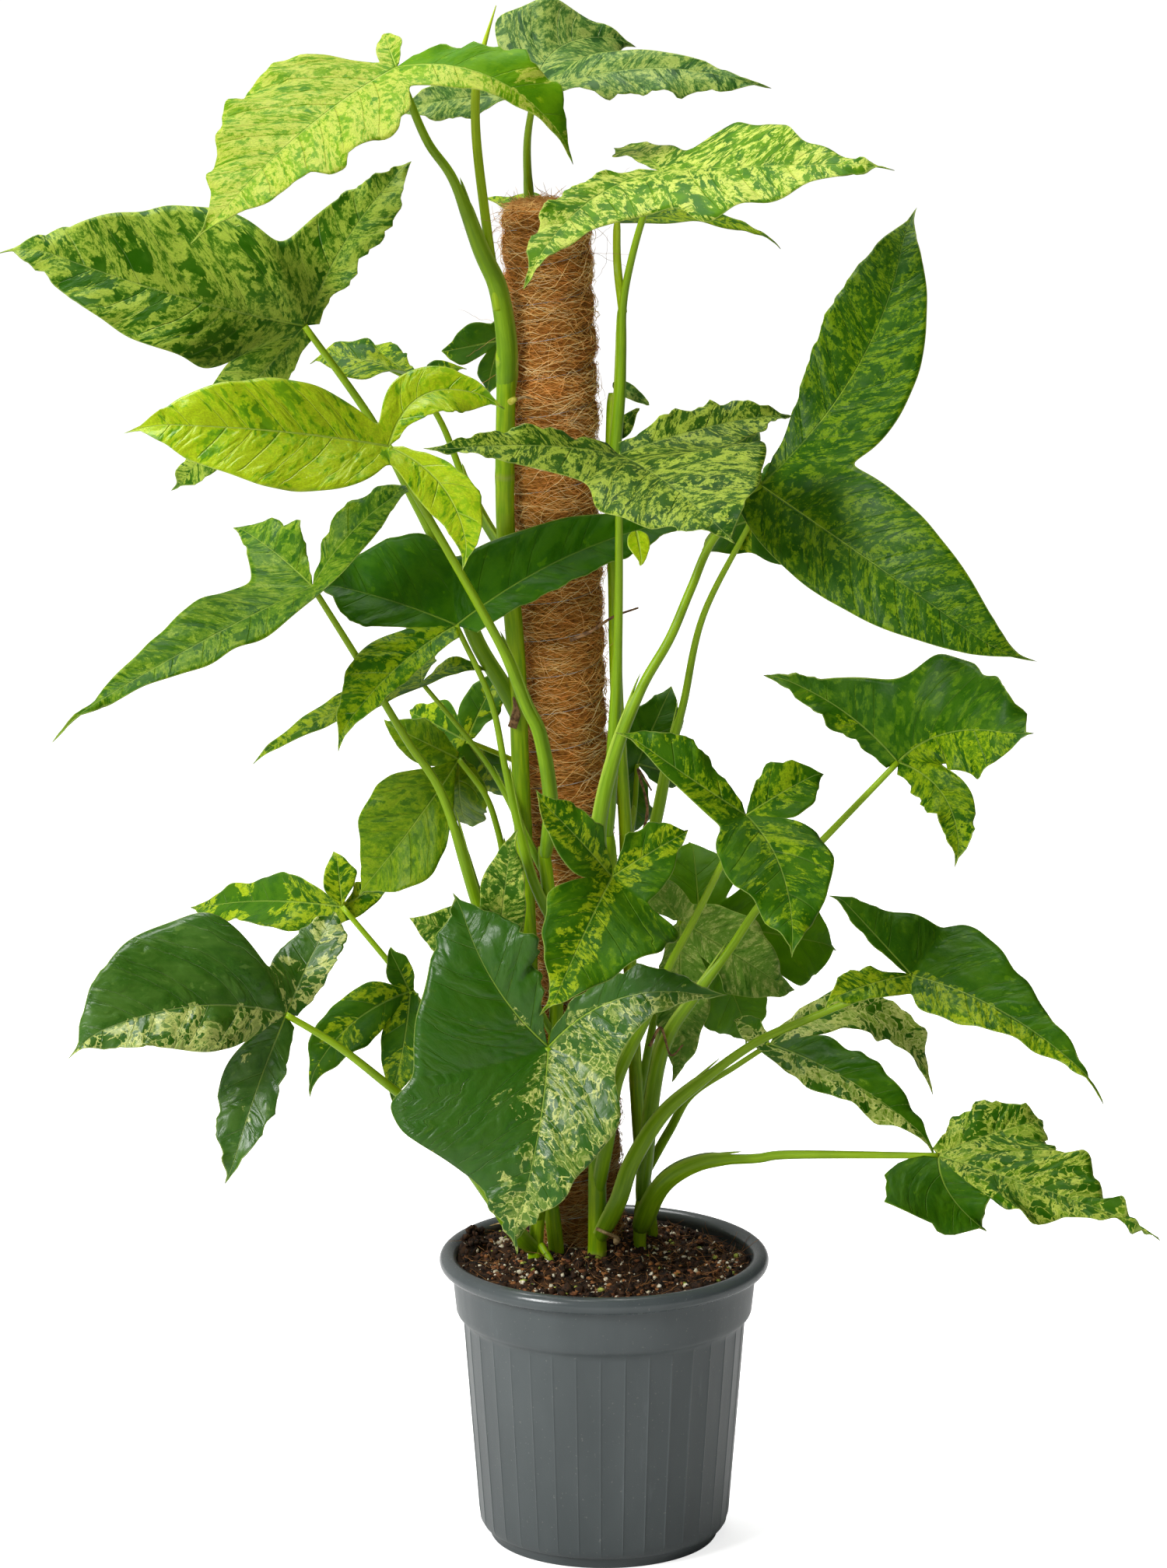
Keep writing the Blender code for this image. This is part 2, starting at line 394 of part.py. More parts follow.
def blade_grids(joint, face, lobes, rows, columns):
    """The six half lobes of a blade, in order around the joint, as (grid, hand) pairs.

    At the joint the blade lies in the plane that all three lobes leave in. The side lobes are first put in
    order: one turns left of the middle lobe, seen from the blade's face, and the other right. Halves that
    meet share their first row.
    """
    joint = np.array(joint, dtype=float)
    face = unit(np.array(face, dtype=float))
    ways = [first_way(joint, face, part) for part in lobes]
    root_face = unit(np.cross(ways[1] - ways[0], ways[2] - ways[0]))
    root_face = root_face * np.sign(np.dot(root_face, face))
    faces = (root_face, face)

    def turn(index):
        flat = ways[index] - np.dot(ways[index], root_face) * root_face
        middle = ways[0] - np.dot(ways[0], root_face) * root_face
        return math.atan2(np.dot(np.cross(middle, flat), root_face), np.dot(middle, flat)) % (2 * math.pi)

    left, right = sorted((1, 2), key=turn)
    lengths = [np.linalg.norm(np.array(part["tip"]) - joint) for part in lobes]
    angles = {left: turn(left) / 2, right: math.pi - turn(right) / 2}
    webs = {index: (ROOM_USED * angle, lobes[index]["web"] * min(lengths[0], lengths[index]), 0)
            for index, angle in angles.items()}
    back_angle = min(BACK_ANGLE, BACK_ROOM_USED * (math.pi - angles[left] - angles[right]))

    def back(index):
        return (back_angle, BACK_WEB * lengths[index], BACK_SWELL)

    plan = [(right, -1, back(right)), (right, 1, webs[right]), (0, -1, webs[right]),
            (0, 1, webs[left]), (left, -1, webs[left]), (left, 1, back(left))]
    grids = [half_lobe(joint, faces, lobes[index], hand, web, rows, columns) for index, hand, web in plan]
    fade = (1 - np.linspace(0, 1, rows + 1)[:, None, None])**2
    for one, two in ((1, 2), (3, 4)):
        shared = (grids[one][:1] + grids[two][:1]) / 2
        grids[one] = grids[one] + fade * (shared - grids[one][:1])
        grids[two] = grids[two] + fade * (shared - grids[two][:1])
    return [(grid, hand) for grid, (_, hand, _) in zip(grids, plan)]


def blade(name, joint, face, lobes, rows, columns, collection, finish=None):
    """The blade as a thin solid: an open surface of six half lobes with Solidify."""
    verts = []
    faces = []
    for grid, hand in blade_grids(joint, face, lobes, rows, columns):
        start = len(verts)
        verts.extend(grid.reshape(-1, 3) * CM)
        for row in range(rows):
            for column in range(columns):
                a = start + row * (columns + 1) + column
                corners = [a, a + columns + 1, a + columns + 2, a + 1]
                faces.append(corners if hand < 0 else corners[::-1])
    mesh = bpy.data.meshes.new(name)
    mesh.from_pydata(verts, [], faces)
    body = bmesh.new()
    body.from_mesh(mesh)
    bmesh.ops.remove_doubles(body, verts=body.verts, dist=0.00002)
    bmesh.ops.triangulate(body, faces=body.faces)
    body.to_mesh(mesh)
    body.free()
    obj = add_object(name, mesh, collection, finish)
    thick = obj.modifiers.new("thickness", "SOLIDIFY")
    thick.thickness = BLADE_THICK * CM
    thick.offset = 0
    return obj


def make_pot(parts, tools):
    """The nursery pot: rolled rim, collar, tapered body, foot and drain holes."""
    rim_height = POT_HEIGHT - RIM_THICK
    rim_turns = np.radians(np.arange(200, -81, -35))
    rim = [(RIM_RADIUS + RIM_THICK * math.cos(t), rim_height + RIM_THICK * math.sin(t)) for t in rim_turns]
    inside = [(0, FLOOR_THICK), (BODY_FOOT_RADIUS - 3 * WALL, FLOOR_THICK),
              (BODY_FOOT_RADIUS - WALL, BODY_FOOT_HEIGHT), (BODY_TOP_RADIUS - WALL, BODY_TOP_HEIGHT),
              (COLLAR_FOOT_RADIUS - WALL, COLLAR_FOOT_HEIGHT + WALL)]
    outside = [(COLLAR_RADIUS, rim_height - 1.1 * RIM_THICK), (COLLAR_FOOT_RADIUS, COLLAR_FOOT_HEIGHT),
               (BODY_TOP_RADIUS + 0.1, BODY_TOP_HEIGHT + 0.2), (BODY_TOP_RADIUS, BODY_TOP_HEIGHT),
               (BODY_FOOT_RADIUS, BODY_FOOT_HEIGHT), (BODY_FOOT_RADIUS - 0.25, FOOT_HEIGHT + 0.15),
               (FOOT_RADIUS + 0.1, FOOT_HEIGHT), (FOOT_RADIUS, 0), (0, 0)]
    pot = lathe("pot", inside + rim + outside, POT_STEPS, parts, "pot")
    for index in range(DRAIN_HOLES):
        angle = 2 * math.pi * (index + 0.5) / DRAIN_HOLES
        bpy.ops.mesh.primitive_cylinder_add(vertices=12, radius=DRAIN_HOLE_RADIUS * CM, depth=2 * CM)
        drill = bpy.context.object
        drill.name = f"drain_drill_{index}"
        drill.location = (DRAIN_RING_RADIUS * CM * math.cos(angle), DRAIN_RING_RADIUS * CM * math.sin(angle), 0)
        for holder in drill.users_collection:
            holder.objects.unlink(drill)
        tools.objects.link(as_cutter(drill))
        boolean(pot, drill, "DIFFERENCE")
    return pot


def stand_on_pole(obj):
    """Put a turned piece's own axis on the pole's axis, with its zero at the pole's foot."""
    lean = Vector(POLE_TOP) - Vector(POLE_FOOT)
    obj.location = Vector(POLE_FOOT) * CM
    obj.rotation_mode = "QUATERNION"
    obj.rotation_quaternion = lean.to_track_quat("Z", "Y")
    return obj


def make_pole(parts, tools):
    """The stake and the coir sleeve, and the cutter that makes room for them in the potting mix."""
    length = (Vector(POLE_TOP) - Vector(POLE_FOOT)).length
    gap = GAP / CM
    crown = 0.9
    top_turns = np.radians((90, 60, 30, 0))
    dome = [((COIR_RADIUS - crown) + crown * math.cos(t) if t < 1.5 else 0, length - crown + crown * math.sin(t))
            for t in top_turns]
    coir = lathe("pole_coir", dome + [(COIR_RADIUS, COIR_BURIED), (COIR_BORE, COIR_BURIED),
                 (COIR_BORE, length - 2 * crown), (0, length - 2 * crown)], POLE_STEPS, parts, "coir")
    stake_top = length - 2 * crown - gap
    stake = lathe("pole_stake", [(0, stake_top), (STAKE_RADIUS, stake_top), (STAKE_RADIUS, 0), (0, 0)],
                  POLE_STEPS, parts, "stake")
    room = lathe("pole_room", [(0, 40), (COIR_RADIUS + gap, 40), (COIR_RADIUS + gap, COIR_BURIED - gap),
                 (STAKE_RADIUS + gap, COIR_BURIED - gap), (STAKE_RADIUS + gap, -gap), (0, -gap)],
                 POLE_STEPS, tools)
    for obj in (coir, stake, room):
        stand_on_pole(obj)
    return as_cutter(room)


def make_stems(parts, tools):
    """The stems, and a slightly fatter copy of each to cut what meets it."""
    room = {}
    for name, (route, foot_radius, top_radius) in STEMS.items():
        foot = (route[0][0], route[0][1], SOIL_HEIGHT - STEM_DEPTH)
        whole = [foot] + route
        tube(name, whole, foot_radius, top_radius, parts, "stem")
        room[name] = as_cutter(tube(name + "_room", whole, foot_radius, top_radius, tools, extra=GAP))
    return room


def make_soil(parts, pole_room, stem_room):
    """The potting mix, with room for the pole and the stems."""
    gap = GAP / CM
    edge = COLLAR_FOOT_RADIUS - WALL
    top = SOIL_HEIGHT
    profile = [(0, top + SOIL_DOME), (5, top + 0.7 * SOIL_DOME), (edge - gap, top),
               (edge - gap, COLLAR_FOOT_HEIGHT + 2 * WALL), (BODY_TOP_RADIUS - WALL - gap, BODY_TOP_HEIGHT),
               (BODY_FOOT_RADIUS - WALL - gap, BODY_FOOT_HEIGHT),
               (BODY_FOOT_RADIUS - 3 * WALL - gap, FLOOR_THICK + gap), (0, FLOOR_THICK + gap)]
    soil = lathe("soil", profile, POT_STEPS, parts, "soil")
    boolean(soil, pole_room, "DIFFERENCE")
    for room in stem_room.values():
        boolean(soil, room, "DIFFERENCE")


def make_leaf(name, plan, parts, tools, stem_room):
    """One leaf: the blade joined to its stalk, whose foot clasps the stem."""
    stem, joint, face, lobes, route, foot_radius, top_radius = plan
    leaf = blade(name, joint, face, lobes, LOBE_ROWS, LOBE_COLUMNS, parts, "leaf")
    stalk = as_cutter(tube(name + "_stalk", route + [joint], foot_radius, top_radius, tools))
    boolean(leaf, stalk, "UNION")
    boolean(leaf, stem_room[stem], "DIFFERENCE")


def make_all():
    """Build every piece."""
    for obj in list(bpy.data.objects):
        bpy.data.objects.remove(obj)
    parts = new_collection("potted_syngonium")
    tools = new_collection("cutters")
    make_pot(parts, tools)
    pole_room = make_pole(parts, tools)
    stem_room = make_stems(parts, tools)
    make_soil(parts, pole_room, stem_room)
    for name, plan in LEAVES.items():
        make_leaf(name, plan, parts, tools, stem_room)
    for name, (stem, route, radius) in SPEARS.items():
        spear = tube(name, route, radius, 0.06, parts, "spear")
        boolean(spear, stem_room[stem], "DIFFERENCE")
    for name, (route, radius) in ROOTS.items():
        tube(name, route, radius, 0.5 * radius, parts, "root", per_span=3, rounds=0)


make_all()
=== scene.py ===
# %% [markdown]
# # Potted syngonium on a coir pole
# A climbing arrowhead plant: speckled leaves of three lobes each, on stalks that clasp long stems, with a
# coir pole behind them and a round nursery pot below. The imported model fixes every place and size, and
# these cells dress it. Shapes are worked out with numpy on grids of two parameters, because a leaf, a
# stalk and a pot are all surfaces with a simple formula, and a formula is easy to change.

# %% Load the frame
import math
from statistics import NormalDist
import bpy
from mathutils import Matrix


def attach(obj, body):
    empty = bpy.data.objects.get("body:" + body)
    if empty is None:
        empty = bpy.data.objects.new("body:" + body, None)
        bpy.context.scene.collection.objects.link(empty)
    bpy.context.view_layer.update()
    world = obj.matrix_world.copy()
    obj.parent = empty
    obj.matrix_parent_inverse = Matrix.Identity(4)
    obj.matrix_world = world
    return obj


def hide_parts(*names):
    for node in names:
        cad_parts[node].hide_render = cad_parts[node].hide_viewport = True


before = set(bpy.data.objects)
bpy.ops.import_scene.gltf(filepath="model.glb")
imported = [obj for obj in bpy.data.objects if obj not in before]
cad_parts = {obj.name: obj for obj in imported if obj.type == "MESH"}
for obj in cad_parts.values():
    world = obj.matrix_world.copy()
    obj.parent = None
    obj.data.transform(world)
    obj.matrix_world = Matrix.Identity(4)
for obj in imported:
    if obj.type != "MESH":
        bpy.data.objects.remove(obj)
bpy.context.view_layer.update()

from types import SimpleNamespace

import bmesh
import bpy
import numpy as np

CM = 0.01

# %% [markdown]
# ## Helpers for meshes
# A mesh is made from arrays, which is much faster than one point at a time. The object stays at the origin
# and the place is in the mesh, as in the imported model.

# %% Arrays to meshes
def array_mesh(name, points, faces):
    """A mesh from an array of points and a list of index arrays, one for each number of corners."""
    corners = np.concatenate([block.ravel() for block in faces]).astype(np.int32)
    sizes = np.concatenate([np.full(len(block), block.shape[1]) for block in faces])
    starts = np.concatenate([[0], np.cumsum(sizes)[:-1]]).astype(np.int32)
    mesh = bpy.data.meshes.new(name)
    mesh.vertices.add(len(points))
    mesh.vertices.foreach_set("co", np.asarray(points, dtype=np.float32).ravel())
    mesh.loops.add(len(corners))
    mesh.loops.foreach_set("vertex_index", corners)
    mesh.polygons.add(len(sizes))
    mesh.polygons.foreach_set("loop_start", starts)
    mesh.update(calc_edges=True)
    return mesh, corners


def add_piece(name, mesh, *materials, sharp=None):
    """An object for the mesh, riding on the plant's one body."""
    piece = bpy.data.objects.new(name, mesh)
    bpy.context.scene.collection.objects.link(piece)
    for material in materials:
        mesh.materials.append(material)
    mesh.shade_smooth()
    if sharp:
        mesh.set_sharp_from_angle(angle=math.radians(sharp))
    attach(piece, "root")
    return piece


print("mesh helpers ready")

# %% [markdown]
# Most pieces are one or more grids of points. `grid_mesh` lays quads over each grid, gives every corner the
# UV value of its point and then welds points that coincide, so a seam or a pole closes. A finish sometimes
# has to know where on the piece a point is, such as how far it is from a leaf's margin, so the points can
# carry values too, which an Attribute node reads.

# %% Grids to meshes
WELD = 0.00002
SLIVER = 0.000001


def grid_faces(rows, columns, start=0, flip=False):
    """Quads over a grid of (rows + 1) by (columns + 1) points whose first point has index `start`."""
    first = start + np.arange(rows)[:, None] * (columns + 1) + np.arange(columns)[None, :]
    quads = np.stack([first, first + 1, first + columns + 2, first + columns + 1], axis=-1)
    quads = quads.reshape(-1, 4)
    return quads[:, ::-1] if flip else quads


def grid_mesh(name, grids, maps=None, values=None, flips=None):
    """One welded mesh from grids of points in centimetres.

    `maps` holds UV maps as {name: a grid of (u, v) for each grid}, `values` holds point attributes as
    {name: a flat array for each grid}, and `flips` says which grids face the other way.
    """
    points, faces, start = [], [], 0
    for index, grid in enumerate(grids):
        rows, columns = grid.shape[0] - 1, grid.shape[1] - 1
        faces.append(grid_faces(rows, columns, start, bool(flips and flips[index])))
        points.append((grid * CM).reshape(-1, 3))
        start += grid.shape[0] * grid.shape[1]
    mesh, corners = array_mesh(name, np.concatenate(points), faces)
    for map_name, layers in (maps or {}).items():
        flat = np.concatenate([layer.reshape(-1, 2) for layer in layers])
        layer = mesh.uv_layers.new(name=map_name)
        layer.data.foreach_set("uv", flat[corners].astype(np.float32).ravel())
    for value_name, layers in (values or {}).items():
        attribute = mesh.attributes.new(value_name, "FLOAT", "POINT")
        attribute.data.foreach_set("value", np.concatenate(layers).astype(np.float32))
    body = bmesh.new()
    body.from_mesh(mesh)
    bmesh.ops.remove_doubles(body, verts=body.verts, dist=WELD)
    bmesh.ops.dissolve_degenerate(body, edges=body.edges, dist=SLIVER)
    body.to_mesh(mesh)
    body.free()
    return mesh


def unit(vector):
    """Vectors of length one."""
    return vector / np.maximum(np.linalg.norm(vector, axis=-1, keepdims=True), 1e-9)


print("points closer than", WELD, "m are welded")

# %% [markdown]
# ## Helpers for finishes
# Every finish is a small tree of nodes. `node` adds one node and fills its inputs with numbers or links,
# and `calc`, `fade`, `mix` and `noise` are the four steps that almost every finish repeats. Colours are
# written as screen values, which `colour` turns into the linear numbers of a shader.

# %% Nodes
def node(tree, kind, values=(), **settings):
    """Add a node. `values` holds numbers, colours or sockets, in input order or by input name."""
    made = tree.nodes.new("ShaderNode" + kind)
    for name, value in settings.items():
        setattr(made, name, value)
    for key, value in (values.items() if isinstance(values, dict) else enumerate(values)):
        if isinstance(value, bpy.types.NodeSocket):
            tree.links.new(value, made.inputs[key])
        elif value is not None:
            made.inputs[key].default_value = value
    return made


def calc(tree, operation, *values):
    """The result of one Math node."""
    return node(tree, "Math", values, operation=operation).outputs[0]


def fade(tree, value, low, high):
    """A smooth step from 0 to 1 as the value goes from low to high."""
    values = {"Value": value, "From Min": low, "From Max": high}
    return node(tree, "MapRange", values, interpolation_type="SMOOTHSTEP").outputs[0]


def colour(red, green, blue):
    """A colour from its 0 to 255 screen values, as the linear numbers that shaders use."""
    screen = np.array((red, green, blue)) / 255
    linear = np.where(screen <= 0.04045, screen / 12.92, ((screen + 0.055) / 1.055)**2.4)
    return (*linear, 1.0)


def mix(tree, share, one, two, amount=1):
    """Two colours mixed by a share from 0 to 1, or by a part of that share."""
    if amount != 1:
        share = calc(tree, "MULTIPLY", share, amount)
    return node(tree, "Mix", {0: share, 6: one, 7: two}, data_type="RGBA").outputs[2]


def blended(one, two, share):
    """The screen colour that lies this share of the way from one to two."""
    return tuple((1 - share) * a + share * b for a, b in zip(one, two))


def noise(tree, place, scale=1.0, detail=2.0, roughness=0.5):
    """Soft noise between 0 and 1."""
    values = {"Vector": place, "Scale": scale, "Detail": detail, "Roughness": roughness}
    return node(tree, "TexNoise", values).outputs[0]


def stretched(tree, place, scale, shift=(0, 0, 0)):
    """Coordinates stretched by a Mapping node."""
    return node(tree, "Mapping", {"Vector": place, "Scale": scale, "Location": shift}).outputs[0]


print("node helpers ready")

# %% [markdown]
# A finish starts with one Principled shader, which then gets a colour, a bump and the light that it lets
# through.

# %% Shaders
def new_finish(name, roughness, specular=0.5):
    """A material with one Principled shader, with its tree and that shader."""
    material = bpy.data.materials.new(name)
    material.use_nodes = True
    shader = material.node_tree.nodes["Principled BSDF"]
    shader.inputs["Roughness"].default_value = roughness
    shader.inputs["Specular IOR Level"].default_value = specular
    return material, material.node_tree, shader


def own_place(tree):
    """Coordinates in metres that stay with the piece."""
    return node(tree, "TexCoord").outputs["Object"]


def paint(tree, shader, value, name="Base Color"):
    """Give one of the shader's inputs a value, most often its colour."""
    tree.links.new(value, shader.inputs[name])


def add_bump(tree, shader, height, strength, distance):
    """Let a height move the shading of a surface."""
    values = {"Height": height, "Strength": strength, "Distance": distance}
    paint(tree, shader, node(tree, "Bump", values).outputs[0], "Normal")


def add_glow(tree, shader, share, tint):
    """Let a share of the light shine through, as a leaf does."""
    through = node(tree, "BsdfTranslucent", {"Color": tint})
    both = node(tree, "MixShader", {0: share, 1: shader.outputs[0], 2: through.outputs[0]})
    tree.links.new(both.outputs[0], tree.nodes["Material Output"].inputs["Surface"])


print("finish helpers ready")

# %% [markdown]
# ## Camera, lights and floor
# A plant is shown best from a little above, with a long lens that keeps the pot and the crown in true
# proportion. Three large soft lamps over a pale floor give the even light of a catalogue picture: one in
# front on the left that shapes the leaves, one on the right that opens the shadows, and one above and
# behind that shines through the blades.

# %% Camera and stage
LENS = 148.2
LOOKS_DOWN = math.radians(13.21)

scene = bpy.context.scene
camera_data = bpy.data.cameras.new("camera")
camera_data.lens = LENS
camera_data.sensor_width = 36
camera_data.clip_end = 100
camera = bpy.data.objects.new("camera", camera_data)
camera.location = (-0.015, -4.5, 1.62)
camera.rotation_euler = (math.radians(90) - LOOKS_DOWN, 0, 0)
scene.collection.objects.link(camera)
scene.camera = camera
scene.view_settings.view_transform = "Standard"


def lamp(name, place, aim, size, power):
    """A square soft lamp that looks at a point."""
    data = bpy.data.lights.new(name, "AREA")
    data.size = size
    data.energy = power
    obj = bpy.data.objects.new(name, data)
    obj.location = place
    way = np.array(aim, dtype=float) - place
    across = math.hypot(way[0], way[1])
    obj.rotation_euler = (math.atan2(across, -way[2]), 0, math.atan2(-way[0], way[1]))
    scene.collection.objects.link(obj)


lamp("lamp_front_left", (-3.0, -2.6, 2.6), (0, 0, 0.6), 1.6, 165)
lamp("lamp_front_right", (2.8, -2.6, 1.6), (0, 0, 0.5), 2.4, 2)
lamp("lamp_above", (-0.4, 0.6, 3.2), (0, 0, 0.5), 1.8, 80)

# The world is brighter on the left, and the floor glows a little to the camera so that it stays pale.
world = bpy.data.worlds.new("studio")
world.use_nodes = True
tree = world.node_tree
direction = node(tree, "SeparateXYZ", [node(tree, "TexCoord").outputs["Generated"]])
from_left = fade(tree, direction.outputs[0], -0.9, 0.9)
side_light = mix(tree, from_left, (0.6, 0.59, 0.57, 1), (0.08, 0.08, 0.08, 1))
tree.links.new(side_light, tree.nodes["Background"].inputs["Color"])
scene.world = world

floor_finish, tree, shader = new_finish("floor_paper", 0.8, 0.2)
paper = mix(tree, noise(tree, own_place(tree), 3, 2), (0.78, 0.78, 0.78, 1), (0.81, 0.81, 0.81, 1))
paint(tree, shader, paper)
paint(tree, shader, paper, "Emission Color")
seen = node(tree, "LightPath").outputs["Is Camera Ray"]
paint(tree, shader, calc(tree, "MULTIPLY", seen, 0.95), "Emission Strength")
floor_corners = np.array([(-30, -10, 0), (30, -10, 0), (30, 60, 0), (-30, 60, 0)])
floor_mesh, _ = array_mesh("floor", floor_corners, [np.array([(0, 1, 2, 3)])])
floor_mesh.materials.append(floor_finish)
floor = bpy.data.objects.new("floor", floor_mesh)
scene.collection.objects.link(floor)
print("camera, 3 lamps and a floor")

# %% [markdown]
# ## The plan
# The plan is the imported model's own: centimetres, +Z up, -Y towards the plant's front and +X to its right.
# A stem, a young leaf or a root is a route with a radius.

# %% Stems, young leaves and roots
# Each stem's route, and its radius at the foot and at the top.
STEMS = {
    "stem_left": ([(-3.5, 0.6, 21.5), (-5, 0.6, 33.5), (-5.5, 1, 45), (-6, 1.5, 56.5), (-6.3, 1.8, 65),
                   (-7, 2.4, 73.5), (-7.1, 2.4, 79), (-7, 2, 84.5), (-7, 1.5, 88.5)], 0.6, 0.75),
    "stem_right": ([(3.5, 5.5, 21), (2.7, 5, 27.5), (2.2, 5, 35.5), (1.8, 4.5, 44), (1.5, 4.5, 52.5),
                    (0.9, 3.5, 62), (0.7, 3, 70.5), (0.5, 3.8, 78.5), (0.6, 4.2, 84)], 0.55, 0.48),
    "stem_centre": ([(-0.5, 0, 22), (-0.5, 0, 27.5), (-0.5, -0.2, 33.5), (0, 0, 40.5), (0.4, 0.4, 48),
                     (0.2, 0.8, 52.8)], 0.75, 0.62),
    "stem_front": ([(-5, -1.2, 21.5), (-4.5, -1.5, 28), (-3.6, -1.6, 37), (-3.5, -1.5, 42.5),
                    (-4, -1.2, 48.5), (-4.4, -0.8, 52)], 0.6, 0.52),
    "stem_back": ([(-1, 8.7, 20), (-2.4, 9, 42), (-3, 9.2, 60.5), (-4, 9.2, 78), (-5, 9, 93)], 0.55, 0.45),
    "stem_short": ([(2.6, 1.8, 21.5), (2.7, 1.8, 25)], 0.55, 0.5),
}

# Young leaves, still rolled: the route and the radius at the foot.
SPEARS = {
    "spear_left": ([(-7.5, 1.1, 90.5), (-8.3, 0.8, 96.5), (-9, 1.5, 102.5), (-9, 1.5, 106.5), (-8.5, 1, 109),
                    (-7.6, 0.5, 112)], 0.3),
    "spear_right": ([(1.3, 3.0, 90), (0.9, 4.6, 93.5), (0.9, 3.8, 98)], 0.26),
}

ROOTS = {
    "root_upper": ([(-2.4, 0.5, 66.8), (-1, -0.4, 67.6), (0.6, -0.1, 68.6), (2.4, 1.2, 69)], 0.14),
    "root_middle": ([(2.6, 3.6, 51), (3.1, 2.6, 54), (2.4, 2, 57), (3.4, 1.6, 55.5)], 0.13),
    "root_lower": ([(3.3, 1.1, 36.6), (4.1, 1, 38), (4.8, 0.9, 36), (5.7, 0.7, 36.8)], 0.12),
}

print("routes in the plan:", len(STEMS) + len(SPEARS) + len(ROOTS))

# %% [markdown]
# A leaf is the point where its stalk meets the blade, the way the blade faces, three lobes with the middle
# one first, and the stalk's route with its radius at the foot and at the top.

# %% Leaf plan
# The powers p and q of an ordinary lobe's outline u^p (1-u)^q, and how far it is joined to the middle one.
SWELL = 0.72
TAPER = 1.15
WEB = 0.24


def lobe(x, y, z, width, arch=0.06, bend=0.0, lean=0.0, swell=SWELL, taper=TAPER, web=WEB):
    """One lobe: its tip, its half width, the rise and the sideways bow of its midrib, how much wider its left
    half is than its right, the powers of its outline, and how far it is joined to the middle lobe."""
    return {"tip": (x, y, z), "width": width, "arch": arch, "bend": bend, "lean": lean,
            "swell": swell, "taper": taper, "web": web}


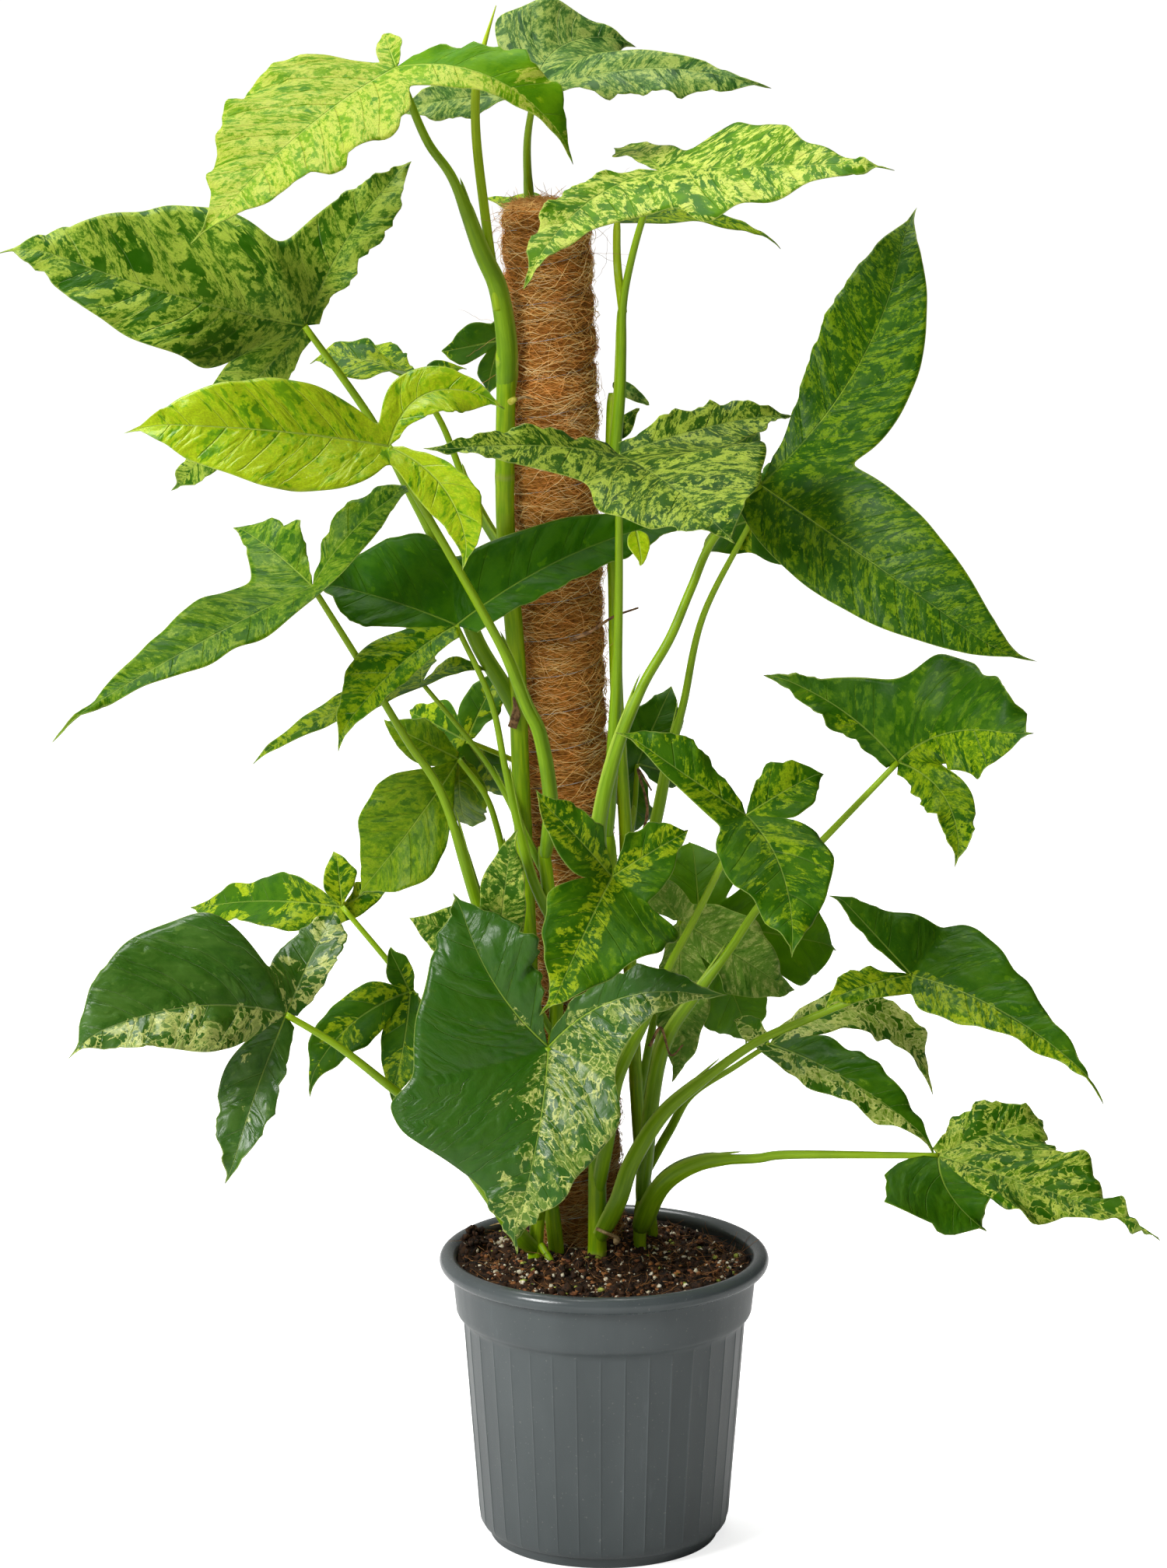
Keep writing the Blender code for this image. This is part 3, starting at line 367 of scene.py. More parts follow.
LEAVES = {
    "leaf_01_crown_left": ((-14.5, -2, 108), (-0.2, -0.6, 0.75),
        [lobe(-27.5, -17, 98, 5.6, 0.04, -0.02, -0.05, taper=1.4), lobe(-2, -4.5, 102, 1.9, 0.22, 0.05, 0.45),
         lobe(-15.5, 1.5, 110, 0.9)],
        [(-7, 1.5, 88), (-7.6, 1.2, 92), (-8.8, 0, 95), (-10.6, -1, 100), (-12.5, -1.6, 103)], 0.55, 0.25),
    "leaf_02_crown_back": ((-5, 6.4, 105), (0, -0.75, 0.65),
        [lobe(2, 18, 107.5, 4.6, 0.05, 0.15, web=0.35), lobe(11.5, 3, 105.8, 1.9, 0.06, 0.08, -0.3),
         lobe(-15, 9, 103.5, 1.8)],
        [(-5, 9, 92.6), (-5.4, 9, 97.5), (-5.5, 7.6, 101.5)], 0.4, 0.22),
    "leaf_03_upper_right": ((4, 0, 100.5), (0, -0.6, 0.8),
        [lobe(19.6, -9, 102.2, 4.3, 0.04, -0.04, 0.05, swell=0.32, taper=1.5),
         lobe(-5.5, -13, 94.5, 1.9, 0.06, -0.07, web=0.45), lobe(1, 8.5, 101, 1.5)],
        [(0.5, 3.7, 78.2), (0.8, 3, 80.5), (1.1, 2.9, 84), (1.2, 3, 87), (1.3, 2.9, 90.5), (1.8, 2.4, 93.5),
         (2.7, 1.4, 97)],
        0.36, 0.22),
    "leaf_04_upper_back": ((-2, 10, 95), (0, -0.3, 0.95),
        [lobe(13, 13, 93.5, 1.7, 0.1), lobe(-9, 14.5, 96.5, 1.5), lobe(1, 21, 95.5, 1.7)],
        [(-4.6, 9.1, 86), (-3.8, 9.8, 89), (-2.8, 10.2, 92.5)], 0.3, 0.2),
    "leaf_05_wide_left": ((-21, -3, 90), (0, -0.75, 0.65),
        [lobe(-41.5, -10, 97.5, 5.3, 0.06, 0.07, -0.08),
         lobe(-13.5, 2, 101, 2.3, 0.06, 0.04, swell=1.3, web=0.42),
         lobe(-30.5, 1, 77, 2.2, swell=0.9)],
        [(-6.1, 1.7, 60.5), (-7.2, 1.8, 63), (-9.2, 1.8, 66.5), (-11.2, 1.4, 72), (-13.6, 1, 77),
         (-16.6, 0, 83)], 0.5, 0.24),
    "leaf_06_left_back": ((-13.5, 6, 84.5), (0, -0.5, 0.85),
        [lobe(-21, 8, 86, 2.8, 0.06, -0.05), lobe(-18, 16, 85.3, 1.4), lobe(-10, 9.5, 85, 1)],
        [(-7, 2.4, 72.5), (-8.6, 3.8, 74.8), (-10, 4.6, 77.5), (-11.6, 5.4, 81.5)], 0.32, 0.2),
    "leaf_07_behind_pole": ((-7.5, 9, 87), (-0.2, -0.95, 0.2),
        [lobe(-11.8, 11, 85.8, 1.4), lobe(-8.5, 10, 83, 1.1), lobe(-4.6, 12, 89.5, 1)],
        [(-4.2, 9.2, 81), (-6.2, 9.6, 85)], 0.25, 0.18),
    "leaf_08_bright_front": ((-15, -9, 82.5), (0, -0.8, 0.6),
        [lobe(-32.5, -17, 85.5, 4.4, 0.04, 0, 0.12, taper=1),
         lobe(-7.2, -3, 84.5, 2.2, 0.06, 0.25, swell=1, web=0.1),
         lobe(-9.5, -11.5, 74.5, 1.9, 0.06, 0.15, swell=0.8, web=0.12)],
        [(-4.3, -0.9, 51), (-3.9, -2.4, 55.5), (-4.6, -3.2, 60.5), (-5.6, -3.7, 63), (-7.1, -4.6, 67),
         (-9.6, -5.9, 72), (-13, -7.6, 78.5)], 0.42, 0.26),
    "leaf_09_long_left": ((-20.5, -6, 72), (-0.1, -0.6, 0.8),
        [lobe(-38, -19, 64.5, 2.5, 0.06, 0.03, swell=0.6, taper=1.6), lobe(-13, -5, 79.3, 1.9, 0.06, 0.05),
         lobe(-26.5, 1.5, 75, 1.9, 0.06, 0, -0.35, web=0.4)],
        [(-3.9, -1.6, 34), (-6.4, -0.9, 40), (-9, -1, 47.5), (-11.5, -2.4, 56), (-14, -4, 60.5),
         (-17, -5.2, 66)], 0.47, 0.22),
    "leaf_10_dark_centre": ((-10.5, -2.5, 68.5), (0, -0.75, 0.65),
        [lobe(-20.4, -0.5, 71.2, 4, 0.06, 0, -0.25, swell=0.5, taper=1),
         lobe(8, 2.5, 75.6, 2.3, 0.05, 0.05, 0.1, web=0.4),
         lobe(-19, -9.5, 61.5, 2, 0.06, -0.04, -0.35)],
        [(-3.8, -1.3, 46.5), (-5.2, -1.9, 50), (-6.1, -1.5, 53.5), (-7.1, -1.6, 58), (-8.1, -2, 63)], 0.32,
        0.2),
    "leaf_12_pale_centre": ((1, -4, 81), (0, -0.7, 0.7),
        [lobe(8.5, -16.5, 77.5, 5.8, 0.06, 0, 0.2, swell=0.5, taper=1), lobe(-12.3, -11, 82.5, 1.5, web=0.4),
         lobe(13.5, 1.5, 83, 1.9, web=0.5)],
        [(0.2, 0.7, 52), (0.6, -0.3, 59), (0.9, -1.2, 65), (1, -2.3, 71.5), (1, -3.4, 77)], 0.42, 0.24),
    "leaf_13_tall_right": ((11, -2, 78.5), (-0.15, -0.95, 0.3),
        [lobe(29, -13, 67.5, 3.9, 0.08, 0, swell=0.9), lobe(21.5, 6, 97.5, 3.7, 0.06, -0.11, web=0.28),
         lobe(8.5, 6, 82.5, 1.8)],
        [(0.4, 0.4, 48), (-0.4, -1.6, 53), (0.7, -2.7, 59), (2.6, -2.8, 64), (4.6, -2.3, 67.5),
         (6.1, -1.8, 71), (7.7, -1.3, 74.5)], 0.48, 0.28),
    "leaf_14_front_centre": ((0.5, -8, 51.5), (0, -0.85, 0.5),
        [lobe(-4, -18, 44, 4.2, 0.06, 0, 0.25, swell=0.42, taper=1.3), lobe(-5, -10, 58, 1.8),
         lobe(6, -6.5, 54.5, 2.1, web=0.45)],
        [(-0.5, -0.2, 33.5), (-0.4, -2.8, 39), (-0.1, -5, 44)], 0.34, 0.22),
    "leaf_15_right": ((21, 0, 58), (-0.1, -0.85, 0.5),
        [lobe(29.5, -9, 61.8, 5, 0.08, 0.08, -0.1, swell=0.5, taper=0.7),
         lobe(11.5, 2.5, 64, 1.4, 0.06, -0.06, web=0.5),
         lobe(25, -8, 52.5, 1.8, 0.06, 0.14, 0.1, web=0.35)],
        [(2.7, 1.8, 24.6), (3.6, 2, 33), (4.6, 2.1, 37), (6.5, 2.1, 40), (9, 2, 43.5), (11.6, 1.6, 47.5),
         (15.5, 1, 51.8)], 0.45, 0.22),
    "leaf_16_right_centre": ((10, -6, 55.5), (0, -0.8, 0.6),
        [lobe(13, -16, 48, 3.6, bend=0.08), lobe(1, -4.5, 61.5, 1.6, 0.06, 0.03, -0.4),
         lobe(15.5, -3, 58, 2.3)],
        [(-0.5, 0, 25.5), (0.4, -1.6, 31), (1, -1.9, 35), (3, -2, 39.5), (4.6, -2.6, 43.5),
         (6.5, -3.6, 47.5)], 0.42, 0.22),
    "leaf_17_front_big": ((-4, -6, 38.5), (-0.1, -0.9, 0.4),
        [lobe(-7, -9.5, 24.2, 5.8, 0.1, 0.05, -0.33, swell=0.5, taper=1.25),
         lobe(-10.5, -4, 49.5, 4, 0.1, 0.08, web=0.5), lobe(8.5, -10, 43, 1.9, 0.06, 0.14, web=0.4)],
        [(-4.8, -1.4, 24.3), (-4.8, -3.4, 28), (-4.4, -4.8, 33)], 0.42, 0.28),
    "leaf_18_left_big": ((-22.5, -10, 42), (-0.1, -0.75, 0.65),
        [lobe(-37, -20, 42.5, 5.2, 0.08, -0.05, -0.25, swell=0.55, taper=0.95), lobe(-19, -1, 47.5, 2),
         lobe(-26.5, -15, 31, 2.1, 0.06, 0, -0.2)],
        [(-5, -1.2, 21.8), (-6.3, -2.4, 23.5), (-7.8, -3.2, 26), (-10.2, -4.8, 30), (-12.7, -6.3, 33.5),
         (-15.3, -7.4, 36), (-19, -9, 39.5)], 0.5, 0.24),
    "leaf_19_left_twisted": ((-19, 4, 46.3), (0, -0.7, 0.7),
        [lobe(-31, 13.5, 43.5, 2.1), lobe(-19.5, 6, 50, 1.2), lobe(-15.6, 8, 47, 1.1)],
        [(-4.6, 0.6, 30.5), (-7.2, 1.3, 31.5), (-11, 2.2, 36), (-14.6, 3.2, 41)], 0.3, 0.2),
    "leaf_20_light_back": ((-10.5, 3, 57.5), (-0.2, -0.9, 0.4),
        [lobe(-18, 3, 47.3, 3.8, bend=0.04), lobe(-16, 4, 60, 1.5), lobe(-10, 9, 51, 2.2)],
        [(-5.5, 1, 45), (-6.9, 2, 49), (-7.7, 2.3, 52.5), (-8.6, 2.6, 55)], 0.28, 0.2),
    "leaf_21_back_small": ((-10, 9, 57.5), (-0.2, -0.9, 0.4),
        [lobe(-14.5, 14.5, 58.5, 1.8), lobe(-7, 14, 52, 1.6), lobe(-7.5, 13, 62, 1.4)],
        [(-2.9, 9.3, 54), (-6.5, 9.8, 55.8)], 0.24, 0.18),
    "leaf_22_thin_left": ((-13, -1, 64), (-0.1, -0.5, 0.85),
        [lobe(-25, -4, 59, 1.2, bend=-0.01), lobe(-8.5, 1.5, 64.5, 0.9, bend=0.1), lobe(-13, 6, 64.5, 1)],
        [(-4.1, -1.1, 49.5), (-5.6, 0, 52.5), (-7.3, 0.2, 56), (-9.2, 0.1, 59)], 0.24, 0.17),
    "leaf_23_low_left": ((-14, 0, 41), (-0.2, -0.8, 0.6),
        [lobe(-21.5, -3.5, 34.5, 2, bend=-0.1), lobe(-15.5, -3.5, 33.5, 1.5, bend=0.05),
         lobe(-15.5, -1, 44.5, 1)],
        [(-4.4, -1.5, 29.5), (-7.6, -0.8, 32.5), (-11, -0.4, 37)], 0.26, 0.18),
    "leaf_24_small_front": ((-7.5, -2.4, 45.5), (-0.1, -0.95, 0.3),
        [lobe(-6.5, -3.8, 54, 1.6), lobe(-14, -3, 47, 1.7), lobe(-9.6, -1.4, 41.5, 1.5)],
        [(-3.6, -1.6, 38), (-5.4, -2.2, 41.5)], 0.24, 0.18),
    "leaf_26_light_right_back": ((7, 8, 44), (0.1, -0.9, 0.4),
        [lobe(17.5, 14.5, 40.5, 4.5), lobe(6.5, 13.5, 49, 2.8), lobe(11, 13, 33.5, 3)],
        [(2.6, 5, 29), (4, 6.4, 35), (5.6, 7.2, 40)], 0.34, 0.22),
    "leaf_27_pale_right_back": ((5.5, 5, 45), (0.1, -0.9, 0.4),
        [lobe(14, 7, 38.8, 2.6), lobe(5.5, 4, 33, 1.9), lobe(2.2, 7, 48.5, 1.3)],
        [(2.5, 5, 31), (3.6, 5.6, 37), (4.6, 5.6, 41.5)], 0.26, 0.2),
    "leaf_28_dark_right": ((22, -3, 43), (0, -0.6, 0.8),
        [lobe(35.5, -12, 36.5, 2.75, 0.08, 0.03, 0.1, swell=0.3, taper=1.5),
         lobe(16.5, 0, 48.5, 1.5, 0.06, 0.03, -0.5, web=0.5), lobe(15.5, -7, 42, 1.5)],
        [(-0.5, 0, 22.2), (1, -1.3, 25.6), (2, -1.2, 28.5), (4.2, -0.9, 32), (7, -0.8, 34.5), (11, -1, 37.5),
         (15, -1.5, 39.5), (18.5, -2.2, 41.2)], 0.5, 0.22),
    "leaf_29_low_right": ((12, 2, 36.5), (0, -0.6, 0.8),
        [lobe(24, -3.5, 31.5, 2.5, 0.1), lobe(23.5, 8.5, 30.3, 2.2, 0.12, 0.2), lobe(9.5, 5.5, 37.5, 1)],
        [(2.9, 5.2, 25.5), (4.8, 3.6, 29.5), (6.4, 2.6, 32.5), (9.5, 2, 34.8)], 0.3, 0.2),
    "leaf_30_far_right": ((24, -4.5, 30), (0.1, -0.6, 0.8),
        [lobe(39.5, -12, 26.5, 2.8, 0.04, -0.02, swell=0.4, taper=1.9), lobe(32, -0.5, 31.5, 2.4, web=0.4),
         lobe(27, -9.5, 26, 3.2, 0.06, -0.15, -0.3, swell=0.2)],
        [(2.6, 1.8, 22.5), (4.2, -0.2, 26.5), (7, -1.2, 28.5), (11, -1.8, 29), (13.7, -2.2, 29.4)], 0.5,
        0.22),
    "leaf_31_behind_right": ((10.5, 3, 75), (0.1, -0.8, 0.5),
        [lobe(19.5, 10, 70, 2.2), lobe(14, 8.5, 78.2, 1.8), lobe(7, 10, 71.5, 1.6)],
        [(1.7, 4.5, 46), (3.6, 4.2, 52), (4.7, 4.1, 57.5), (5.7, 3.8, 61.5), (7.1, 3.6, 68)], 0.4, 0.2),
    "leaf_33_dark_back": ((2.4, 8, 56), (0, -0.9, 0.4),
        [lobe(5, 12, 61, 2), lobe(2, 11, 50, 1.6), lobe(5.5, 13.5, 53.5, 1.2)],
        [(1.6, 4.5, 50.4), (2.2, 6.8, 53)], 0.24, 0.18),
}
print("leaves in the plan:", len(LEAVES))

# %% [markdown]
# ## Routes and tubes
# Stems, stalks, roots and fibres are all tubes along a route. A Catmull-Rom curve passes through every point
# of the route, so the plan's places hold. The tube's rings stand across the curve, and both ends are drawn
# to a point, which closes the tube.

# %% Routes and tubes
def smooth_route(points, per_span):
    """Points along a Catmull-Rom curve: each span is a cubic that leaves a point towards the next but one."""
    route = np.array(points, dtype=float)
    padded = np.vstack([2 * route[0] - route[1], route, 2 * route[-1] - route[-2]])
    steps = (np.arange(per_span) / per_span)[None, :, None]
    a, b, c, d = (padded[i:len(route) - 1 + i, None, :] for i in range(4))
    spans = 0.5 * (2 * b + (c - a) * steps + (2 * a - 5 * b + 4 * c - d) * steps**2
                   + (3 * b - 3 * c + d - a) * steps**3)
    return np.vstack([spans.reshape(-1, 3), route[-1:]])


def lengths_along(path):
    """Distance from the start of a path to each of its points."""
    return np.concatenate([[0], np.cumsum(np.linalg.norm(np.diff(path, axis=0), axis=1))])


def tube_grid(path, radius, sides, up=(0.31, 0.22, 0.9), shape=None):
    """Rings around a path: path + r (cos t n + sin t b), where n is `up` squared to the path and b is across.

    `shape` gives a factor for r from the turn t and the share u of the path's length. The first and last
    rings are single points, so that the tube is closed.
    """
    heading = unit(np.gradient(path, axis=0))
    up = np.asarray(up, dtype=float)
    across = unit(up - np.sum(up * heading, axis=1, keepdims=True) * heading)
    beside = np.cross(heading, across)
    turn = np.linspace(0, 2 * math.pi, sides + 1)
    size = np.broadcast_to(np.asarray(radius, dtype=float).reshape(-1, 1), (len(path), sides + 1))
    if shape is not None:
        along = lengths_along(path)
        size = size * shape(turn[None, :], (along / along[-1])[:, None])
    cos, sin = np.cos(turn)[None, :, None], np.sin(turn)[None, :, None]
    ring = path[:, None] + size[..., None] * (cos * across[:, None] + sin * beside[:, None])
    ends = [np.repeat(path[i][None, None, :], sides + 1, axis=1) for i in (0, -1)]
    return np.concatenate([ends[0], ring, ends[1]])


def with_ends(values):
    """Values along a path with the first and last repeated, for the two rings that close its tube."""
    return np.concatenate([values[:1], values, values[-1:]])


def per_point(grid, values):
    """One value for the whole grid, or one for each ring, laid over the grid's points."""
    return np.broadcast_to(np.reshape(values, (-1, 1)), grid.shape[:2]).ravel()


def tube_map(path, sides):
    """UV values for `tube_grid`: the turn from 0 to 1, and the length along the path."""
    turn = np.linspace(0, 1, sides + 1)
    return np.stack(np.broadcast_arrays(turn[None, :], with_ends(lengths_along(path))[:, None]), axis=-1)


def flat_tube(turn, u):
    """A radius factor that flattens a tube to a third."""
    return 1 / np.hypot(np.cos(turn) / 0.3, np.sin(turn)) + 0 * u


print("tube helpers ready")

# %% [markdown]
# ## The shape of a blade
# A syngonium blade is three lobes around the end of its stalk, each one swelling fast and drawing out to
# a point. One half of a lobe is a grid: u runs along the midrib and s runs from the midrib out to the margin.
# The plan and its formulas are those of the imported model, on a finer grid. On top of them comes what makes
# a leaf look grown: halves that curve down from a soft fold, margins that wave, and a blade that swells a
# little between its side veins.

# %% Midrib
# Behind the joint a lobe is joined over BACK_WEB of its length, at BACK_ANGLE from its midrib, and swells
# more slowly by BACK_SWELL. The webs take up these shares of the room between two lobes.
BACK_WEB = 0.09
BACK_SWELL = 0.55
BACK_ANGLE = math.radians(105)
ROOM_USED = 0.88
BACK_ROOM_USED = 0.76

# A side vein leaves the midrib every VEIN_SPACING centimetres, slants ahead and curves.
VEIN_SPACING = 2.1
VEIN_SLANT = 0.8
VEIN_CURVE = 0.06

# The outline: fuller than the plan's by ROUNDER, with a tip of half width TIP_WIDTH from u = TIP_START on.
ROUNDER = 0.85
TIP_START = 0.95
TIP_WIDTH = 0.16

# The relief: the fold at the midrib, the swelling between side veins, and two sets of waves in the margin,
# each as wave lengths and heights.
FOLD = math.radians(14)
QUILT = 0.13
OUTLINE_WAVES = ((5.5, 3.0, 1.7, 0.95), (0.16, 0.17, 0.13, 0.065))
RUFFLE_WAVES = ((7.0, 3.6, 2.0), (0.3, 0.22, 0.1))


def spine_frame(joint, faces, part, along):
    """Midrib points with their side and face directions: the chord plus 4u(1-u) times arch and bend.

    The last sixth hooks back and to one side, by an amount that the tip's own place decides. The blade faces
    the first of `faces` at the joint and turns to the second over half the lobe.
    """
    chord = np.array(part["tip"], dtype=float) - joint
    length = np.linalg.norm(chord)
    ahead = chord / length
    up = unit(faces[1] - np.dot(faces[1], ahead) * ahead)
    lift = length * (part["arch"] * up + part["bend"] * np.cross(up, ahead))
    u = along[..., None]
    place = joint + chord * u + 4 * u * (1 - u) * lift
    sway = math.sin(12.9 * part["tip"][0] + 7.7 * part["tip"][2])
    hook = length * (0.045 * sway * np.cross(up, ahead) - (0.035 + 0.02 * sway) * up)
    place = place + np.clip((u - 0.84) / 0.16, 0, 1)**2 * hook
    heading = unit(chord + 4 * (1 - 2 * u) * lift)
    share = np.clip(2 * u, 0, 1)
    share = share * share * (3 - 2 * share)
    wanted = faces[0] * (1 - share) + faces[1] * share
    face_way = unit(wanted - np.sum(wanted * heading, axis=-1, keepdims=True) * heading)
    return place, np.cross(face_way, heading), face_way


print("side veins every", VEIN_SPACING, "cm")

# %% [markdown]
# A half is drawn between its midrib and its margin, and then lifted off the midrib's plane.

# %% Half a lobe
def margin_noise(distance, waves, draw):
    """An uneven wave along a margin: sines of these lengths and heights, with chance phases and paces."""
    lengths, sizes = waves
    phases = draw.uniform(0, 2 * math.pi, len(lengths))
    paces = draw.uniform(0.85, 1.2, len(lengths))
    return sum(size * np.sin(2 * math.pi * distance * pace / length + phase)
               for size, length, pace, phase in zip(sizes, lengths, paces, phases))


def margin_of(part, width, length, hand, web, u):
    """How far ahead and how far out the margin of half a lobe lies at each u.

    The half width is W u^p (1-u)^q scaled to reach W, beyond the web that joins the lobe to its neighbour,
    with a narrow drawn-out tip. `pinch` narrows the outer part of the right half and of the left one.
    """
    angle, reach, slower = web
    web_ahead, web_out = reach * math.cos(angle), reach * math.sin(angle)
    rise, fall = part["swell"] + slower, ROUNDER * part["taper"]
    crest = rise / (rise + fall)
    body = np.clip(u / TIP_START, 0, 1)
    swell = body**rise * (1 - body)**fall / (crest**rise * (1 - crest)**fall)
    ahead = web_ahead + (length - web_ahead) * u
    out = web_out * (1 - u)**2 + (width - 0.25 * web_out) * swell
    out = np.hypot(out, TIP_WIDTH * np.clip((1 - u) / (1 - TIP_START), 0, 1))
    if angle < math.radians(85):
        out = np.minimum(out, ahead * math.tan(angle))
    pinch = part.get("pinch", (0, 0))[hand > 0] * np.clip((u - 0.3) / 0.35, 0, 1)**2
    return ahead, out * (1 - pinch)


def half_lobe(joint, faces, part, hand, web, rows, columns, ruffle, draw, quilting=1.0):
    """Half a lobe, on the right (-1) or the left (1): its grid, and for each point the vein map (w, v), the
    distance to the margin and u.

    The rise over the midrib's plane is a soft fold, less a droop with the square of the distance, plus waves
    that grow to the margin, plus a swelling |sin| between side veins. Along a side vein
    w = ahead - a out - b out^2 is constant. `ragged` makes the outline more or less uneven.
    """
    u = np.linspace(0, 1, rows + 1)[:, None]
    s = np.linspace(0, 1, columns + 1)[None, :]
    length = np.linalg.norm(np.array(part["tip"]) - joint)
    width = part["width"] * (1 + hand * part["lean"])
    size = min(1.0, width / 3.5)
    middle = np.clip(4 * u * (1 - u), 0, 1)
    uneven = min(ruffle, 1) * part.get("ragged", 1)
    margin_ahead, margin_out = margin_of(part, width, length, hand, web, u)
    margin_out = margin_out + middle * size * uneven * margin_noise(length * u, OUTLINE_WAVES, draw)
    rib = length * u**1.12
    ahead = rib + (margin_ahead - rib) * s
    out = margin_out * s
    place, side, up = spine_frame(joint, faces, part, ahead / length)

    waves = margin_noise(length * u, RUFFLE_WAVES, draw)
    w = ahead - VEIN_SLANT * out - VEIN_CURVE * out**2
    w = w + 0.35 * np.sin(1.4 * w + draw.uniform(0, 6))
    quilt = np.abs(np.sin(math.pi * w / VEIN_SPACING))**0.8
    quilt = quilt * np.clip(out / 0.9, 0, 1) * np.clip((margin_out - out) / 0.9, 0, 1)
    fold = FOLD * (1 - 0.5 * u)
    soft = np.sqrt(out**2 + 0.09) - 0.3
    lift = (np.sin(fold) * soft - 0.2 * np.sin(fold) * out**2 / max(width, 1)
            + quilting * QUILT * size * quilt * middle
            + ruffle * size * s**2.5 * waves * np.clip(u / 0.2, 0, 1) * np.clip((1 - u) / 0.15, 0, 1))
    grid = place + (hand * out * np.cos(fold))[..., None] * side + lift[..., None] * up
    return grid, np.stack([w, hand * out], axis=-1), margin_out - out, u + 0 * s


print("half lobes ready")

# %% [markdown]
# ## The whole blade
# The two side lobes turn left and right of the middle one. Halves that meet share their first row, so they
# weld into one sheet. The corner where two lobes meet at the margin is rounded by smoothing the joined margin
# near it, as a real blade has a soft dip there and not a notch.

# %% Six halves in order
ROWS_PER_CM = 2.95
COLUMNS_PER_CM = 2.8


def first_way(joint, face, part):
    """The way a lobe leaves the joint, with most of its arch and bend counted in."""
    chord = np.array(part["tip"]) - joint
    ahead = unit(chord)
    up = unit(face - np.dot(face, ahead) * ahead)
    return unit(ahead + 2.8 * (part["arch"] * up + part["bend"] * np.cross(up, ahead)))


def round_corner(one, two, reach):
    """Smooth the margin that two halves share, least at the tips. Points inside move less, by s squared."""
    margin = np.concatenate([one[::-1, -1], two[1:, -1]])
    middle = len(one) - 1
    along = lengths_along(margin)
    apart = along[:, None] - along[None, :]
    near = np.exp(-(apart / reach)**2) * np.gradient(along)[None, :] + 1e-12
    smooth = near @ margin / near.sum(axis=1, keepdims=True)
    from_tip = np.minimum(along, along[-1] - along)
    shift = np.clip(from_tip / (4 * reach), 0, 1)[:, None]**2 * (smooth - margin)
    s = np.linspace(0, 1, one.shape[1])[None, :, None]
    return one + s**2 * shift[middle::-1][:, None], two + s**2 * shift[middle:][:, None]


def blade_grids(joint, face, lobes, ruffle, rounding, draw, quilting):
    """The six half lobes in order around the joint, each as (grid, vein map, distance to margin, u, hand),
    and the ways that the blade faces at the joint and beyond."""
    joint = np.array(joint, dtype=float)
    face = unit(np.array(face, dtype=float))
    ways = [first_way(joint, face, part) for part in lobes]
    root_face = unit(np.cross(ways[1] - ways[0], ways[2] - ways[0]))
    root_face = root_face * np.sign(np.dot(root_face, face))
    faces = (root_face, face)

    def turn(index):
        flat = ways[index] - np.dot(ways[index], root_face) * root_face
        middle = ways[0] - np.dot(ways[0], root_face) * root_face
        return math.atan2(np.dot(np.cross(middle, flat), root_face), np.dot(middle, flat)) % (2 * math.pi)

    left, right = sorted((1, 2), key=turn)
    lengths = [np.linalg.norm(np.array(part["tip"]) - joint) for part in lobes]
    angles = {left: turn(left) / 2, right: math.pi - turn(right) / 2}
    webs = {index: (ROOM_USED * angle, lobes[index]["web"] * min(lengths[0], lengths[index]), 0)
            for index, angle in angles.items()}
    back_angle = min(BACK_ANGLE, BACK_ROOM_USED * (math.pi - angles[left] - angles[right]))

    def back(index):
        return (back_angle, BACK_WEB * lengths[index], BACK_SWELL)

    plan = [(right, -1, back(right)), (right, 1, webs[right]), (0, -1, webs[right]),
            (0, 1, webs[left]), (left, -1, webs[left]), (left, 1, back(left))]
    rows = [int(np.clip(ROWS_PER_CM * length, 18, 68)) for length in lengths]
    columns = int(np.clip(COLUMNS_PER_CM * max(part["width"] for part in lobes), 7, 13))
    halves = [half_lobe(joint, faces, lobes[index], hand, web, rows[index], columns, ruffle, draw,
                        quilting) for index, hand, web in plan]
    grids = [half[0] for half in halves]
    for one, two in ((1, 2), (3, 4)):
        shared = (grids[one][:1] + grids[two][:1]) / 2
        for index in (one, two):
            fading = (1 - halves[index][3][..., None])**2
            grids[index] = grids[index] + fading * (shared - grids[index][:1])
        grids[one], grids[two] = round_corner(grids[one], grids[two], rounding * min(lengths))
    return [(grid, *half[1:], hand) for grid, half, (_, hand, _) in zip(grids, halves, plan)], faces


print("rows in a centimetre of a lobe:", ROWS_PER_CM)

# %% [markdown]
# ## Leaf finish
# The blade is marbled: whole sectors are plain dark green, and in the others lime or cream flecks lie between
# islands of green. The flecks follow the side veins, so the noise is read from the vein map: its first value
# is the same all along one side vein, its second is the distance from the midrib. Noise that changes fast
# across the veins and slowly along them gives thin flecks. USUAL_LOOK holds all that a leaf's look can say.

# %% What a leaf's finish reads
USUAL_LOOK = {
    # Shares of the surface: speckled sectors, bright and dark grain, mid-green blotches, dark islands, and
    # specks on the plain dark parts.
    "pale": 0.5, "fleck": 0.55, "dim": 0.22, "mottle": 0.35, "island": 0.2, "specks": 0.03,
    # How much the islands run together, the change from lime to cream, the strength of cream lines around
    # cells, and how much the pale sectors keep to the midrib.
    "patch": 0.38, "cream": 0.0, "cells": 0.0, "centre": 0.0,
    "deep": (42, 92, 0), "body": (80, 124, 4), "bright": (166, 190, 22),
    # How pale the veins are, the roughness, the shine, the light that passes through, and the puckers.
    "rib": 0.3, "gloss": 0.42, "shine": 0.12, "glow": 0.22, "relief": 0.0,
}
